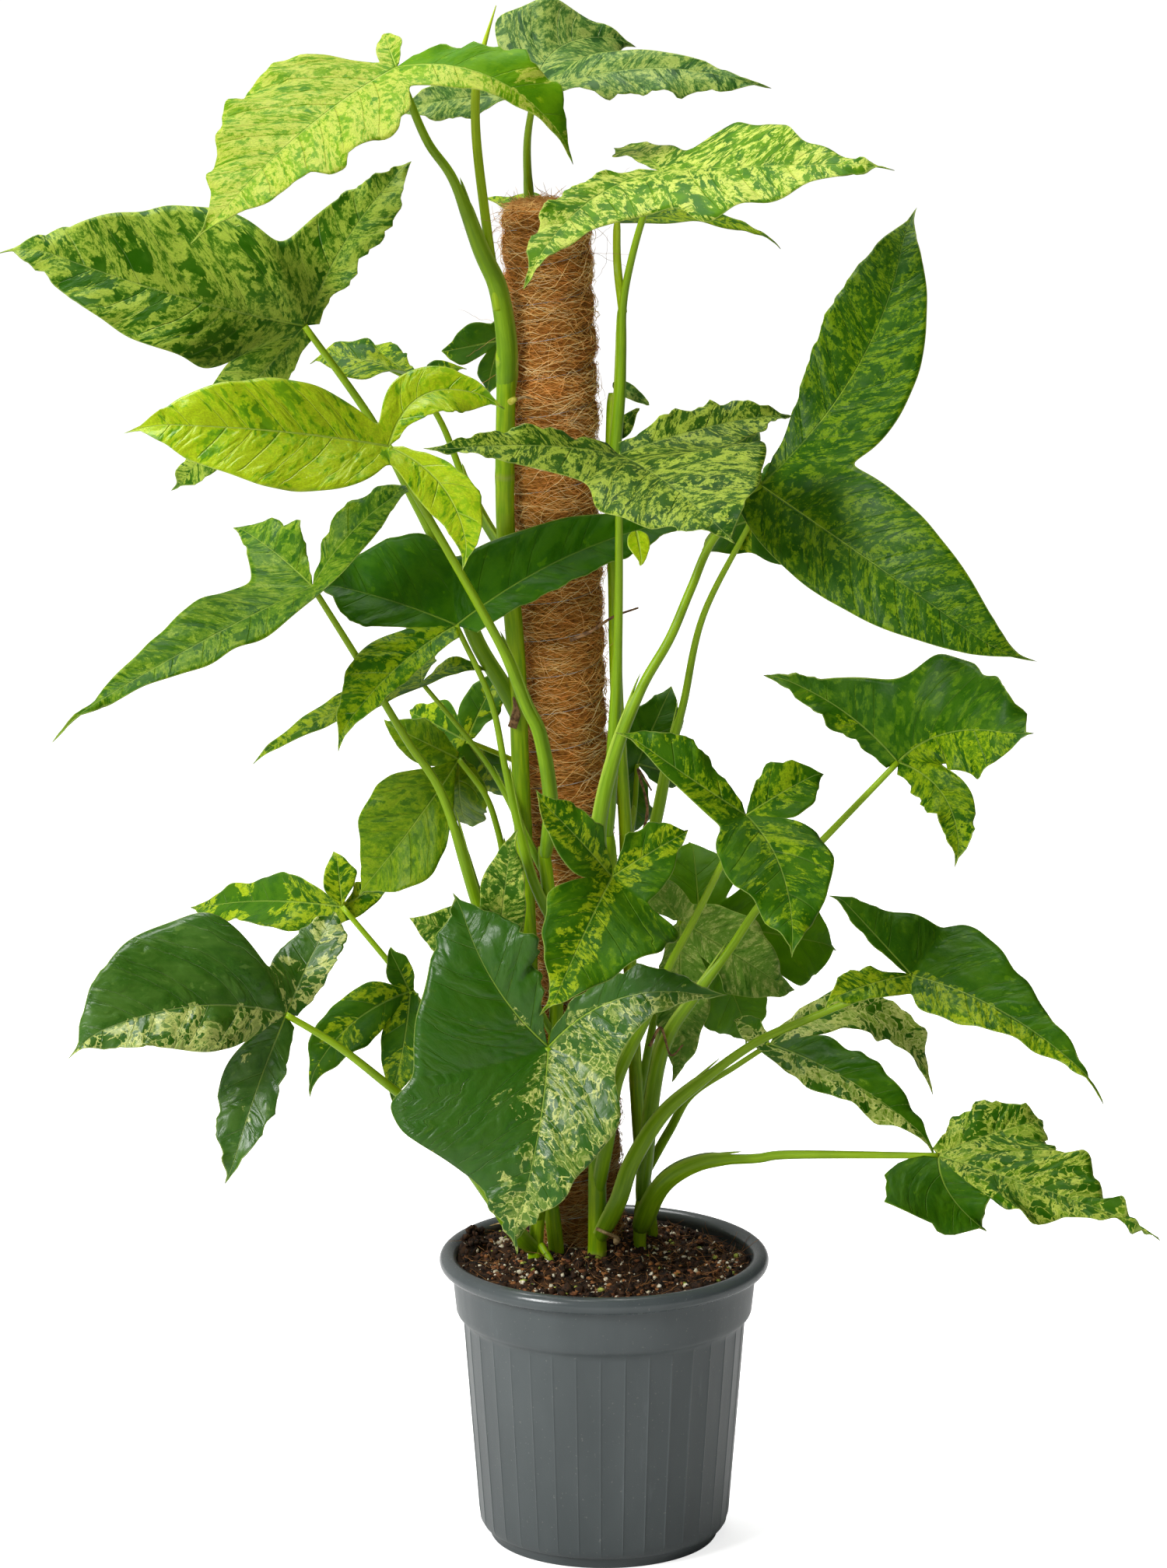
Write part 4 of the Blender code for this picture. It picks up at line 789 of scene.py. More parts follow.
# Each noise: its shift, its scale across and along the veins, its detail and its roughness.
PATTERNS = {
    "grain": (0, 3.2, 2.4, 6, 0.82), "blotch": (1, 1.6, 1.15, 6, 0.62), "sector": (2, 0.36, 0.34, 5, 0.5),
    "shade": (3, 0.8, 0.6, 3, 0.6), "dark": (4, 2.3, 1.1, 6, 0.66), "fine": (5, 10, 8, 2, 0.6),
    "patches": (6, 0.75, 0.5, 4, 0.6),
}


def leaf_patterns(tree, seed):
    """What a leaf's finish reads at a point: its place by the veins, the values it carries, and noises.

    `flat` is the place straight out from the midrib, and `between` goes half way towards the veins' slant.
    Every gap between two side veins has its own chance number.
    """
    veins = node(tree, "UVMap", uv_map="veins").outputs[0]
    w, v, _ = node(tree, "SeparateXYZ", [veins]).outputs
    out = calc(tree, "ABSOLUTE", v)
    flat, between = (node(tree, "CombineXYZ", [calc(tree, "MULTIPLY_ADD", out, slant, w), v]).outputs[0]
                     for slant in (VEIN_SLANT, VEIN_SLANT / 2))
    at = SimpleNamespace(seed=seed, shift=(seed * 3.71, seed * 1.37, seed * 0.7), w=w, out=out, flat=flat,
                         between=between)
    for key in ("edge", "along", "pale"):
        setattr(at, key, node(tree, "Attribute", attribute_name=key).outputs["Fac"])
    for key, (order, across, down, detail, rough) in PATTERNS.items():
        moved = tuple(value + order * 9.3 for value in at.shift)
        place = stretched(tree, flat if key == "sector" else between, (across, down, 1), moved)
        setattr(at, key, noise(tree, place, 1, detail, rough))
    number = calc(tree, "FLOOR", calc(tree, "DIVIDE", w, VEIN_SPACING))
    gap = node(tree, "CombineXYZ", [number, calc(tree, "SIGN", v), seed]).outputs[0]
    at.chance = node(tree, "TexWhiteNoise", [gap]).outputs[0]
    return at


print("values in a leaf's look:", len(USUAL_LOOK))

# %% [markdown]
# A share of the surface becomes a threshold, because noise is spread around one half nearly like a normal
# distribution: the level that a share of it exceeds is 0.5 plus its spread times the normal quantile.

# %% Sectors and cells
def level(share, spread):
    """The threshold above which noise of this spread lies for this share of the surface."""
    return 0.5 + spread * NormalDist().inv_cdf(1 - min(max(share, 0.0005), 0.9995))


def crisp(tree, value, share, spread, soft=0.01):
    """A mask with a fairly sharp edge that is 1 on this share of the surface."""
    cut = level(share, spread)
    return fade(tree, value, cut - soft, cut + soft)


def swing(tree, value, by, amount):
    """A value moved up or down by another one: value + amount (by - 0.5)."""
    return calc(tree, "MULTIPLY_ADD", by, amount, calc(tree, "SUBTRACT", value, amount / 2))


def sectors(tree, at, look):
    """The mask of the speckled sectors. The pale bias, each gap's chance and the blotches all sway it."""
    field = calc(tree, "MULTIPLY_ADD", at.pale, 0.22, at.sector)
    field = swing(tree, swing(tree, field, at.chance, 0.08), at.blotch, 0.26)
    if look["centre"]:
        field = swing(tree, field, fade(tree, at.out, 0.2, 2.2), -look["centre"])
    return crisp(tree, field, look["pale"], 0.11, 0.006)


def cells(tree, at, strength, inside, plain, sage, pale_light):
    """Pale lines around the cells of a warped Voronoi pattern. A quarter of the cells keeps the speckles,
    more than a third is plain green, and the rest is half sage."""
    warp = node(tree, "TexNoise", {"Vector": at.flat, "Scale": 1.6, "Detail": 3}).outputs["Color"]
    place = stretched(tree, at.flat, (1.05, 0.9, 1), at.shift)
    place = node(tree, "VectorMath", {0: place, 1: warp}, operation="ADD").outputs[0]
    values = {"Vector": place, "Scale": 1.5}
    ring = node(tree, "TexVoronoi", values, feature="DISTANCE_TO_EDGE").outputs[0]
    ring = swing(tree, swing(tree, ring, at.blotch, 0.4), at.grain, 0.16)
    which = node(tree, "TexVoronoi", values).outputs["Color"]
    kind = node(tree, "SeparateColor", [which]).outputs[0]
    filled = mix(tree, fade(tree, kind, 0.26, 0.28), inside, plain)
    filled = mix(tree, fade(tree, kind, 0.62, 0.64), filled, mix(tree, 0.5, sage, inside))
    return mix(tree, fade(tree, ring, 0.03 * strength, 0.07 * strength), pale_light, filled)


print("noise level for a tenth of the surface:", level(0.1, 0.1))

# %% [markdown]
# The colour is built from below: grain, then cells, then blotches and islands inside the speckled sectors,
# plain green with a few specks outside them, and the veins and the margin on top.

# %% Marbling
CREAM = (212, 220, 122)


def marbling(tree, at, look):
    """The colour of the blade without its veins."""
    deep, body = look["deep"], look["body"]
    light = blended(look["bright"], CREAM, look["cream"])
    sage, green = colour(*blended(body, light, 0.28)), colour(*body)
    less_light = colour(*[0.88 * c for c in light])
    pale_light = mix(tree, fade(tree, at.fine, 0.35, 0.65), less_light, colour(*light))
    plain = mix(tree, fade(tree, at.shade, 0.4, 0.62), colour(*deep), colour(*blended(deep, body, 0.55)))
    mottled = mix(tree, crisp(tree, at.grain, 0.5, 0.11, 0.05), green, sage)

    tone = swing(tree, at.grain, at.blotch, 0.6)
    inside = mix(tree, crisp(tree, tone, look["fleck"], 0.1, 0.025), sage, pale_light)
    dim = crisp(tree, calc(tree, "SUBTRACT", 1, tone), look["dim"], 0.1, 0.02)
    inside = mix(tree, dim, inside, colour(*blended(body, deep, 0.5)))
    if look["cells"]:
        inside = cells(tree, at, look["cells"], inside, plain, sage, pale_light)
    dark = calc(tree, "ADD", calc(tree, "MULTIPLY", at.dark, 1 - look["patch"]),
                calc(tree, "MULTIPLY", at.patches, look["patch"]))
    inside = mix(tree, crisp(tree, dark, look["mottle"], 0.075), inside, mix(tree, 0.5, mottled, green))
    islands = crisp(tree, calc(tree, "MULTIPLY_ADD", at.chance, 0.04, dark), look["island"], 0.075)
    inside = mix(tree, islands, inside, plain)

    outside = mix(tree, fade(tree, at.fine, 0.3, 0.7), plain, green, 0.25)
    outside = mix(tree, crisp(tree, at.blotch, 1.5 * look["specks"] + 0.06, 0.1), outside, green)
    outside = mix(tree, crisp(tree, at.blotch, look["specks"], 0.1), outside, mottled)
    return mix(tree, sectors(tree, at, look), outside, inside)


def fade_out(tree, value, low, high):
    """A smooth step from 1 to 0 as the value goes from low to high."""
    return calc(tree, "SUBTRACT", 1, fade(tree, value, low, high))


def vein_masks(tree, at):
    """The masks of the side veins, which fade out at the margin and the foot, and of the narrowing midrib."""
    line = fade_out(tree, calc(tree, "PINGPONG", at.w, VEIN_SPACING / 2), 0.0, 0.07)
    line = calc(tree, "MULTIPLY", line, fade(tree, at.edge, 0.1, 0.9))
    line = calc(tree, "MULTIPLY", line, fade(tree, at.along, 0.03, 0.14))
    width = calc(tree, "MULTIPLY_ADD", at.along, -0.07, 0.1)
    return line, fade_out(tree, calc(tree, "DIVIDE", at.out, width), 0.5, 1.2)


print("marbling ready")

# %% [markdown]
# The veins lie in grooves, and the skin between them is a little uneven. Some of the light goes through the
# blade, so the shader is mixed with a Translucent one in a warmer green.

# %% Blade finish
def blade_relief(tree, at, look, line, midrib):
    """The height of the blade's skin: small bumps, veins that lie in grooves, and puckers."""
    small = noise(tree, stretched(tree, at.between, (1.6, 1.3, 1)), 1, 4, 0.55)
    height = calc(tree, "ADD", calc(tree, "MULTIPLY", line, -0.9), calc(tree, "MULTIPLY", small, 0.9))
    height = calc(tree, "SUBTRACT", height, calc(tree, "MULTIPLY", midrib, 1.3))
    if look["relief"]:
        crease = noise(tree, stretched(tree, at.between, (0.75, 0.6, 1), (at.seed, 0, 4)), 1, 1, 0.4)
        crease = fade(tree, calc(tree, "ABSOLUTE", calc(tree, "SUBTRACT", crease, 0.5)), 0.0, 0.16)
        height = calc(tree, "MULTIPLY_ADD", crease, look["relief"], height)
    return height


def leaf_finish(name, seed, given):
    """The marbled green of one leaf, from what its look changes in USUAL_LOOK."""
    look = {**USUAL_LOOK, **given}
    material, tree, shader = new_finish(name, look["gloss"], look["shine"])
    at = leaf_patterns(tree, seed)
    line, midrib = vein_masks(tree, at)
    pale_rib = colour(*blended(look["body"], (204, 222, 118), 0.6))
    blend = mix(tree, line, marbling(tree, at, look), pale_rib, 0.4 * look["rib"])
    blend = mix(tree, midrib, blend, pale_rib, look["rib"] + 0.15)
    blend = mix(tree, fade_out(tree, at.edge, 0.02, 0.07), blend, colour(180, 200, 96), 0.5)
    paint(tree, shader, blend)
    roughness = calc(tree, "MULTIPLY_ADD", at.shade, 0.3, look["gloss"] - 0.15)
    paint(tree, shader, roughness, "Roughness")
    add_bump(tree, shader, blade_relief(tree, at, look, line, midrib), 0.6, 0.0014)
    add_glow(tree, shader, look["glow"], mix(tree, 0.45, blend, colour(150, 205, 10)))
    return material


def underside_finish(name, body, veined):
    """The paler, duller underside, where the veins stand out a little."""
    material, tree, shader = new_finish(name, 0.55, 0.35)
    veins = node(tree, "UVMap", uv_map="veins").outputs[0]
    w = node(tree, "SeparateXYZ", [veins]).outputs[0]
    flecks = noise(tree, stretched(tree, veins, (3.6, 1.1, 1)), 1, 4, 0.6)
    line = fade_out(tree, calc(tree, "PINGPONG", w, VEIN_SPACING / 2), 0, 0.1)
    blend = mix(tree, fade(tree, flecks, 0.42, 0.58), colour(*body), colour(*veined))
    blend = mix(tree, line, blend, colour(176, 200, 132), 0.3)
    paint(tree, shader, blend)
    add_bump(tree, shader, calc(tree, "ADD", line, flecks), 0.3, 0.001)
    add_glow(tree, shader, 0.2, blend)
    return material


underside = underside_finish("leaf_underside", (98, 134, 40), (138, 164, 56))
print("leaf finishes ready")

# %% [markdown]
# ## Stalk finish
# Stalks are smooth and juicy: bright green, paler along the thin edges of the sheath that wraps the lower
# half, with faint lines along their length.

# %% Stalk finish
def stalk_finish(name, low, high):
    """Green that changes from `low` at the foot to `high` at the tip, with lines along the length."""
    material, tree, shader = new_finish(name, 0.36, 0.22)
    around = node(tree, "UVMap", uv_map="around").outputs[0]
    along, wing = (node(tree, "Attribute", attribute_name=key).outputs["Fac"] for key in ("along", "wing"))
    lines = noise(tree, stretched(tree, around, (14, 0.25, 1)), 1, 3, 0.6)
    cloud = noise(tree, own_place(tree), 34, 2)
    green = mix(tree, along, colour(*low), colour(*high))
    bright, dark = colour(*[min(255, 1.15 * c + 12) for c in high]), colour(*[0.8 * c for c in low])
    green = mix(tree, fade(tree, lines, 0.35, 0.7), green, bright, 0.3)
    green = mix(tree, fade(tree, cloud, 0.45, 0.75), green, dark, 0.3)
    green = mix(tree, wing, green, colour(176, 202, 80))
    paint(tree, shader, green)
    add_bump(tree, shader, lines, 0.25, 0.0012)
    return material


stalk_green = stalk_finish("stalk_green", (98, 140, 8), (138, 170, 18))
print("stalk finish ready")

# %% [markdown]
# ## Stalks
# A leaf stalk is wrapped at its foot by a sheath with two thin wings that face the stem, with a channel
# between them. The wings end half way up, and from there the stalk is round with a shallow groove. The
# tube's radius is a function of the turn t and of u, so the wings are two narrow bumps in t that fade with u.
# The stalk ends in three ribs that run on under the lobes.

# %% Stalk and ribs
WING_TURN = math.radians(34)
STALK_SIDES = 20
FLAP_SIDES = 16
RIB_SIDES = 6


def winged(sheath, girth):
    """A radius factor: thicker by `girth` up to u = sheath, with two wings and a groove between them."""
    def shape(turn, u):
        from_top = np.minimum(turn, 2 * math.pi - turn)
        wing = np.exp(-((from_top - WING_TURN) / 0.17)**2)
        groove = np.exp(-(from_top / 0.36)**2)
        end = np.clip((sheath - u) / 0.05, 0, 1)
        present = end * (0.75 + 0.25 * np.clip(u / sheath, 0, 1))
        thicker = (girth - 1) * np.clip((sheath - u) / (0.6 * sheath) + 0.35, 0, 1) * end
        foot = 0.6 + 0.4 * np.clip(u / 0.07, 0, 1)**0.5
        return foot * (1 + thicker + present * (0.42 * wing - 0.14 * groove) - (1 - present) * 0.1 * groove)
    return shape


def flap(path, share, radius, up, sheath):
    """The free tip of the sheath, a flat tube that starts on the channel and leaves the stalk at its end."""
    steps = np.linspace(sheath - 0.2, sheath + 0.03, 16)
    place = np.stack([np.interp(steps, share, path[:, i]) for i in range(3)], axis=-1)
    size = float(np.interp(sheath, share, radius))
    rise = np.linspace(0, 1, len(steps))
    way = unit(np.asarray(up, dtype=float))
    heading = unit(place[-1] - place[0])
    way = unit(way - np.dot(way, heading) * heading)
    place = place + (size * (0.75 + 0.7 * rise**2))[:, None] * way
    return tube_grid(place, size * 1.15 * (1 - rise**3)**0.6 + 0.02, FLAP_SIDES, way, flat_tube)


def stalk_mesh(name, joint, lobes, route, radii, faces, sheath, girth):
    """The stalk, its sheath tip and the ribs under the lobes as one mesh, with what its finish reads."""
    path = smooth_route(route + [joint], 9)
    share = lengths_along(path) / lengths_along(path)[-1]
    radius = radii[0] + (radii[1] - radii[0]) * share
    outward = np.array([joint[0] - route[0][0], joint[1] - route[0][1]])
    outward = outward / max(np.linalg.norm(outward), 1)
    up = (-outward[0], -outward[1], 0.45)
    grids = [tube_grid(path, radius, STALK_SIDES, up, winged(sheath, girth)),
             flap(path, share, radius, up, sheath)]
    maps = [tube_map(path, STALK_SIDES), tube_map(path[:len(grids[1]) - 2], FLAP_SIDES)]
    turn = np.linspace(0, 2 * math.pi, STALK_SIDES + 1)
    from_top = np.minimum(turn, 2 * math.pi - turn)
    ends = with_ends(share)
    wing = np.exp(-((from_top - WING_TURN) / 0.15)**2)[None, :]
    wing = wing * np.clip((sheath - ends) / 0.04, 0, 1)[:, None]
    wings = [wing.ravel(), per_point(grids[1], 0.45)]
    alongs = [per_point(grids[0], ends), per_point(grids[1], sheath)]
    for part in lobes:
        u = np.linspace(0, 0.96, 20)
        place, _, up_way = spine_frame(np.array(joint, dtype=float), faces, part, u)
        size = (0.55 * radii[1] + 0.02) * (1 - u)**0.8 + 0.02
        grids.append(tube_grid(place - 0.75 * size[:, None] * up_way, size, RIB_SIDES, faces[1]))
        maps.append(tube_map(place, RIB_SIDES))
        alongs.append(per_point(grids[-1], 1.0))
        wings.append(per_point(grids[-1], with_ends(u) * 0.35 + 0.15))
    return grid_mesh(name, grids, {"around": maps}, {"along": alongs, "wing": wings})


print("stalk helpers ready")

# %% [markdown]
# ## Looks of each leaf
# No two leaves are marbled alike. LOOKS gives what differs from the usual look, and HALVES says where a leaf
# keeps its pale sectors: six numbers for its half lobes, counter-clockwise from the leaf's right as its face
# is seen, from -1 for all dark to 1 for all pale. A pair runs from the foot of a lobe to its tip.

# %% Looks of each leaf
FINE = {"pale": 0.97, "mottle": 0.3, "island": 0.15}
SPLASHED = {"cream": 0.95, "cells": 1.0, "mottle": 0.12, "island": 0.1}
LIMY = {"body": (112, 156, 0), "deep": (72, 128, 0), "bright": (176, 192, 52)}
LOOKS = {
    1: {**FINE, **LIMY, "fleck": 0.62, "island": 0.1, "mottle": 0.34, "gloss": 0.5, "cream": 0.3},
    2: {**FINE, "fleck": 0.5, "mottle": 0.4, "bright": (160, 180, 84), "body": (72, 112, 40),
        "deep": (36, 78, 20)},
    3: {**FINE, **LIMY, "bright": (196, 212, 76), "fleck": 0.56, "island": 0.36, "mottle": 0.24,
        "gloss": 0.5, "deep": (56, 108, 0), "cream": 0.4, "dim": 0.3},
    4: {**FINE, "island": 0.3},
    5: {"pale": 0.9, "fleck": 0.5, "mottle": 0.14, "island": 0.17, "bright": (172, 196, 66),
        "body": (78, 122, 20), "patch": 0.85, "dim": 0.26, "shine": 0.15},
    6: {**FINE, "island": 0.3}, 7: {"pale": 0.4, "centre": 0.15},
    8: {"pale": 1.0, "fleck": 0.8, "mottle": 0.3, "island": 0.1, "dim": 0.02, "patch": 0.5,
        "bright": (198, 226, 22), "body": (150, 196, 0), "deep": (92, 150, 0), "rib": 1.2, "relief": 0.5,
        "shine": 0.45, "gloss": 0.34},
    9: {**FINE, "fleck": 0.36, "mottle": 0.5, "island": 0.28, "bright": (142, 172, 40)},
    10: {"pale": 0.03, "relief": 0.3, "bright": (146, 176, 10), "body": (72, 122, 0), "dim": 0.3,
        "specks": 0.02, "deep": (38, 90, 0), "rib": 0.15},
    12: {**FINE, "patch": 0.15, "fleck": 0.52, "mottle": 0.24, "island": 0.26, "bright": (176, 198, 66),
        "body": (72, 112, 18), "deep": (34, 76, 8), "dim": 0.34, "shine": 0.14},
    13: {**FINE, "fleck": 0.42, "mottle": 0.3, "island": 0.3, "patch": 0.15, "bright": (116, 150, 8),
        "body": (62, 104, 0), "deep": (34, 80, 0), "shine": 0.14, "rib": 0.08, "dim": 0.4},
    14: {"pale": 0.55, "fleck": 0.5, "centre": 0.24, "specks": 0.2, "patch": 0.2, "dim": 0.3,
        "island": 0.26},
    15: {"pale": 0.55, "fleck": 0.42, "mottle": 0.3, "island": 0.25, "specks": 0.25,
        "bright": (148, 176, 14), "deep": (36, 84, 0), "body": (70, 112, 8)},
    16: {"pale": 0.66, "fleck": 0.4, "centre": 0.16, "mottle": 0.4, "specks": 0.2, "patch": 0.2, "dim": 0.3,
        "island": 0.34, "bright": (150, 180, 16)},
    17: {**SPLASHED, "pale": 0.5, "specks": 0.02, "fleck": 0.3, "body": (60, 104, 6), "island": 0.2,
        "mottle": 0.2, "gloss": 0.34, "shine": 0.42, "centre": 0.12, "relief": 0.5, "deep": (46, 98, 2),
        "cells": 0.75},
    18: {**SPLASHED, "pale": 0.35, "relief": 0.5, "fleck": 0.6, "cream": 1.0, "body": (88, 126, 44),
        "shine": 0.5, "gloss": 0.3, "deep": (46, 94, 8)},
    20: {**FINE, "fleck": 0.45, "mottle": 0.34, "island": 0.12, "patch": 0.15, "deep": (66, 106, 4),
        "bright": (134, 164, 14), "body": (90, 130, 4)},
    21: {"pale": 0.4}, 22: {"pale": 0.7}, 23: {"pale": 0.4},
    24: {**FINE, "fleck": 0.4, "cream": 0.7, "mottle": 0.4, "island": 0.3, "body": (84, 128, 30),
        "deep": (52, 98, 10), "patch": 0.2},
    # Leaf 26 has its own lime green, made lighter still as painted light for the light that shines through it
    # from behind.
    26: {"pale": 0.02, "specks": 0.0, "deep": (80, 132, 0), "body": (108, 158, 0), "glow": 0.42,
        "shine": 0.1},
    27: {**FINE, "fleck": 0.4, "mottle": 0.5, "island": 0.08, "cream": 0.4, "body": (102, 144, 46),
        "deep": (62, 112, 20), "bright": (178, 200, 98), "glow": 0.3, "shine": 0.1, "dim": 0.12},
    28: {"pale": 0.4, "relief": 0.5, "fleck": 0.5, "specks": 0.06},
    29: {**SPLASHED, "pale": 0.45, "relief": 0.5},
    30: {**SPLASHED, "pale": 0.65, "cream": 0.6, "relief": 0.5, "fleck": 0.4, "island": 0.24},
    31: {"pale": 0.3}, 33: {"pale": 0.02},
}
HALVES = {
    1: (0, 0, 0, 0, 0, -1.6), 5: (0.4, 0.4, (0.5, 0), (0.1, -0.2), 0.5, 0.5),
    10: (-1, -1, -1, -1, 1.7, 1.7), 15: (1, 0.6, 0.8, -0.8, -0.5, -0.5),
    17: (-1, -1, (-1, 1.4), 1, 1, -0.6), 18: (0.5, 0.3, -1, 1, -0.3, -0.3),
    28: (0.8, 0.8, 1, -1, -1, -1), 29: (0.4, 0.8, 0.5, -0.6, 1, 1), 30: (-1, -1, 0.5, 0.5, 0.5, 0.5),
}
print("looks given:", len(LOOKS))

# %% [markdown]
# The shapes differ a little too. RUFFLES, RAGGED and QUILTS scale the waves of the margin, the unevenness of
# the outline and the swelling between side veins. ROUNDINGS says how far the corner between two lobes is
# rounded, as a share of the shortest lobe. RESHAPED changes single lobes, given as (leaf, lobe). FEET adds a
# start to a stalk's route, SHEATHS is how far its sheath reaches, and GIRTHS how thick the sheath makes it.

# %% Shapes of single leaves
RUFFLES = {1: 1.1, 8: 0.8, 10: 0.8, 13: 0.4, 15: 2.2, 17: 1.0, 18: 1.2, 20: 0.8, 24: 1.3, 26: 0.6, 27: 1.6,
           29: 1.7, 30: 2.0}
RAGGED = {1: 1.5, 3: 1.5, 5: 1.5, 8: 1, 10: 1, 12: 1.8, 13: 0.8, 15: 2, 18: 1.2, 28: 1.6, 29: 1.6, 30: 2.2}
QUILTS = {8: 1.3, 10: 1.3, 17: 1.7, 18: 1.6, 27: 1.4, 28: 1.4, 29: 1.5}
ROUNDINGS = {10: 0.2, 17: 0.14, 18: 0.2, 26: 0.25}
RESHAPED = {
    (17, 0): {"pinch": (0.5, 0.05), "ragged": 2.4}, (17, 1): {"ragged": 1.6, "web": 0.74},
    (29, 0): {"tip": (24.2, -4, 30.2), "width": 2.1},
    (29, 1): {"tip": (24.4, 8, 31.4), "width": 2.0, "arch": 0.2, "web": 0.15},
    (30, 0): {"width": 3.5, "swell": 0.35, "taper": 2.4}, (30, 1): {"width": 2.8, "web": 0.8},
    (30, 2): {"width": 3.6, "web": 0.75},
}
FEET = {1: [(-7.05, 2.1, 84)]}
SHEATHS = {1: 0.62, 30: 0.42}
GIRTHS = {1: 1.35, 9: 1.3, 15: 1.35, 17: 1.3, 18: 1.3, 28: 1.4, 30: 1.6}
print("lobes changed:", len(RESHAPED))

# %% [markdown]
# ## Dressing every leaf
# Each leaf is two pieces: a blade, which Solidify gives its half millimetre, and a stalk with its ribs. The
# blade's underside gets the second material through Solidify's material offset.

# %% Leaves
def bias_along(bias, u):
    """The pale bias of half a lobe: one number, or a pair that runs from the foot to the tip."""
    first, last = bias if isinstance(bias, tuple) else (bias, bias)
    return first + (last - first) * u


def blade_mesh(name, halves, biases):
    """One mesh from half lobes, given as (grid, vein map, distance to margin, u, hand), with their bias."""
    grids, veins, edges, alongs, hands = zip(*halves)
    pale = [bias_along(bias, u).ravel() for bias, u in zip(biases, alongs)]
    values = {"edge": [edge.ravel() for edge in edges], "along": [u.ravel() for u in alongs], "pale": pale}
    return grid_mesh(name, grids, {"veins": veins}, values, [hand > 0 for hand in hands])


def thicken(blade):
    """Give a blade its thickness, with the second material on the other side."""
    thick = blade.modifiers.new("thickness", "SOLIDIFY")
    thick.thickness = 0.0005
    thick.offset = 0
    thick.material_offset = 1
    thick.material_offset_rim = 0


for name, (joint, face, lobes, route, *radii) in LEAVES.items():
    key = int(name[5:7])
    lobes = [{"ragged": RAGGED.get(key, 1.3), **part, **RESHAPED.get((key, index), {})}
             for index, part in enumerate(lobes)]
    halves, faces = blade_grids(joint, face, lobes, RUFFLES.get(key, 1.3), ROUNDINGS.get(key, 0.15),
                                np.random.default_rng(100 + key), QUILTS.get(key, 1.0))
    mesh = blade_mesh(name + "_blade", halves, HALVES.get(key, [0] * 6))
    finish = leaf_finish(name + "_marbled", key, LOOKS.get(key, {}))
    blade = add_piece(name + "_blade", mesh, finish, underside)
    thicken(blade)
    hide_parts(name)
    mesh = stalk_mesh(name + "_stalk", joint, lobes, FEET.get(key, []) + route, radii, faces,
                      SHEATHS.get(key, 0.5), GIRTHS.get(key, 1.2))
    stalk = add_piece(name + "_stalk", mesh, stalk_green)
    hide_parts(name)
print("leaves:", len(LEAVES))

# %% [markdown]
# ## Pot
# A nursery pot is moulded in one shot of plastic: a rolled rim to carry it by, a plain collar, and a tapered
# body of 36 narrow flat panels that stiffen the thin wall. It is a profile turned about the z axis, except
# that between the collar and the foot the radius follows a polygon, R cos(5 deg) / cos(turn within the
# panel), with a thin raised line where two panels meet.

# %% Pot profile
PANELS = 36
PANEL_TURN = math.radians(-1.5)
RIM_CENTRE = (11.36, 20.87)
RIM_THICK = 0.63
SEAM_HEIGHT = 0.035

# The profile from the centre of the floor over the rim to the centre of the foot: radius, height, and how
# much of the radius follows the polygon. The rim is a bead of equal steps round its centre.
bead_turns = np.radians(np.arange(205, -96, -12.5))
bead = [(RIM_CENTRE[0] + RIM_THICK * math.cos(t), RIM_CENTRE[1] + RIM_THICK * math.sin(t), 0)
        for t in bead_turns]
inner = [(0, 0.35, 0), (4, 0.35, 0), (8.35, 0.36, 0), (8.85, 1.4, 0), (9.6, 9, 0), (10, 16.3, 0),
         (10.5, 17.25, 0), (10.66, 19.2, 0)]
outer = [(11.13, 20.2, 0), (11.06, 20.05, 0), (11.0, 19.4, 0), (10.9, 18.4, 0), (10.8, 17.5, 0),
         (10.77, 17.2, 0), (10.68, 17.0, 0), (10.45, 16.82, 0), (10.3, 16.6, 0), (10.25, 16.4, 0.6),
         (10.23, 16.2, 1), (9.95, 12.5, 1), (9.67, 8.8, 1), (9.38, 5.1, 1), (9.13, 1.8, 1), (9.09, 1.45, 0.8),
         (9.0, 1.15, 0.3), (8.86, 0.93, 0), (8.55, 0.8, 0), (8.42, 0.76, 0), (8.38, 0.68, 0), (8.33, 0.12, 0),
         (8.26, 0.02, 0), (8.15, 0, 0), (4, 0, 0), (0, 0, 0)]
profile = np.array(inner + bead + outer)
panel = 2 * math.pi / PANELS
parts = np.array([0, 0.022, 0.045, 0.075, 0.35, 0.65, 0.925, 0.955, 0.978])
turns = np.append((np.arange(PANELS)[:, None] + parts).ravel(), PANELS) * panel + PANEL_TURN
share = np.append(np.tile(parts, PANELS), 0)
facet = math.cos(panel / 2) / np.cos((share - 0.5) * panel)
seam = np.clip(1 - np.minimum(share, 1 - share) / 0.05, 0, 1)
polygon = profile[:, 2:]
radius = profile[:, :1] * (1 + polygon * (facet[None, :] - 1)) + polygon * SEAM_HEIGHT * seam[None, :]
pot_grid = np.stack([radius * np.cos(turns), radius * np.sin(turns), profile[:, 1:2] + 0 * radius], axis=-1)
pot_map = np.stack(np.broadcast_arrays(turns[None, :], profile[:, 1:2]), axis=-1)
pot_mesh = grid_mesh("pot_moulding", [pot_grid], {"around": [pot_map]}, flips=[True])
print("pot profile:", len(profile), "points")

# %% [markdown]
# The plastic is slate grey with faint clouds, scuffs and dust, and smoother at the rim where hands hold it.

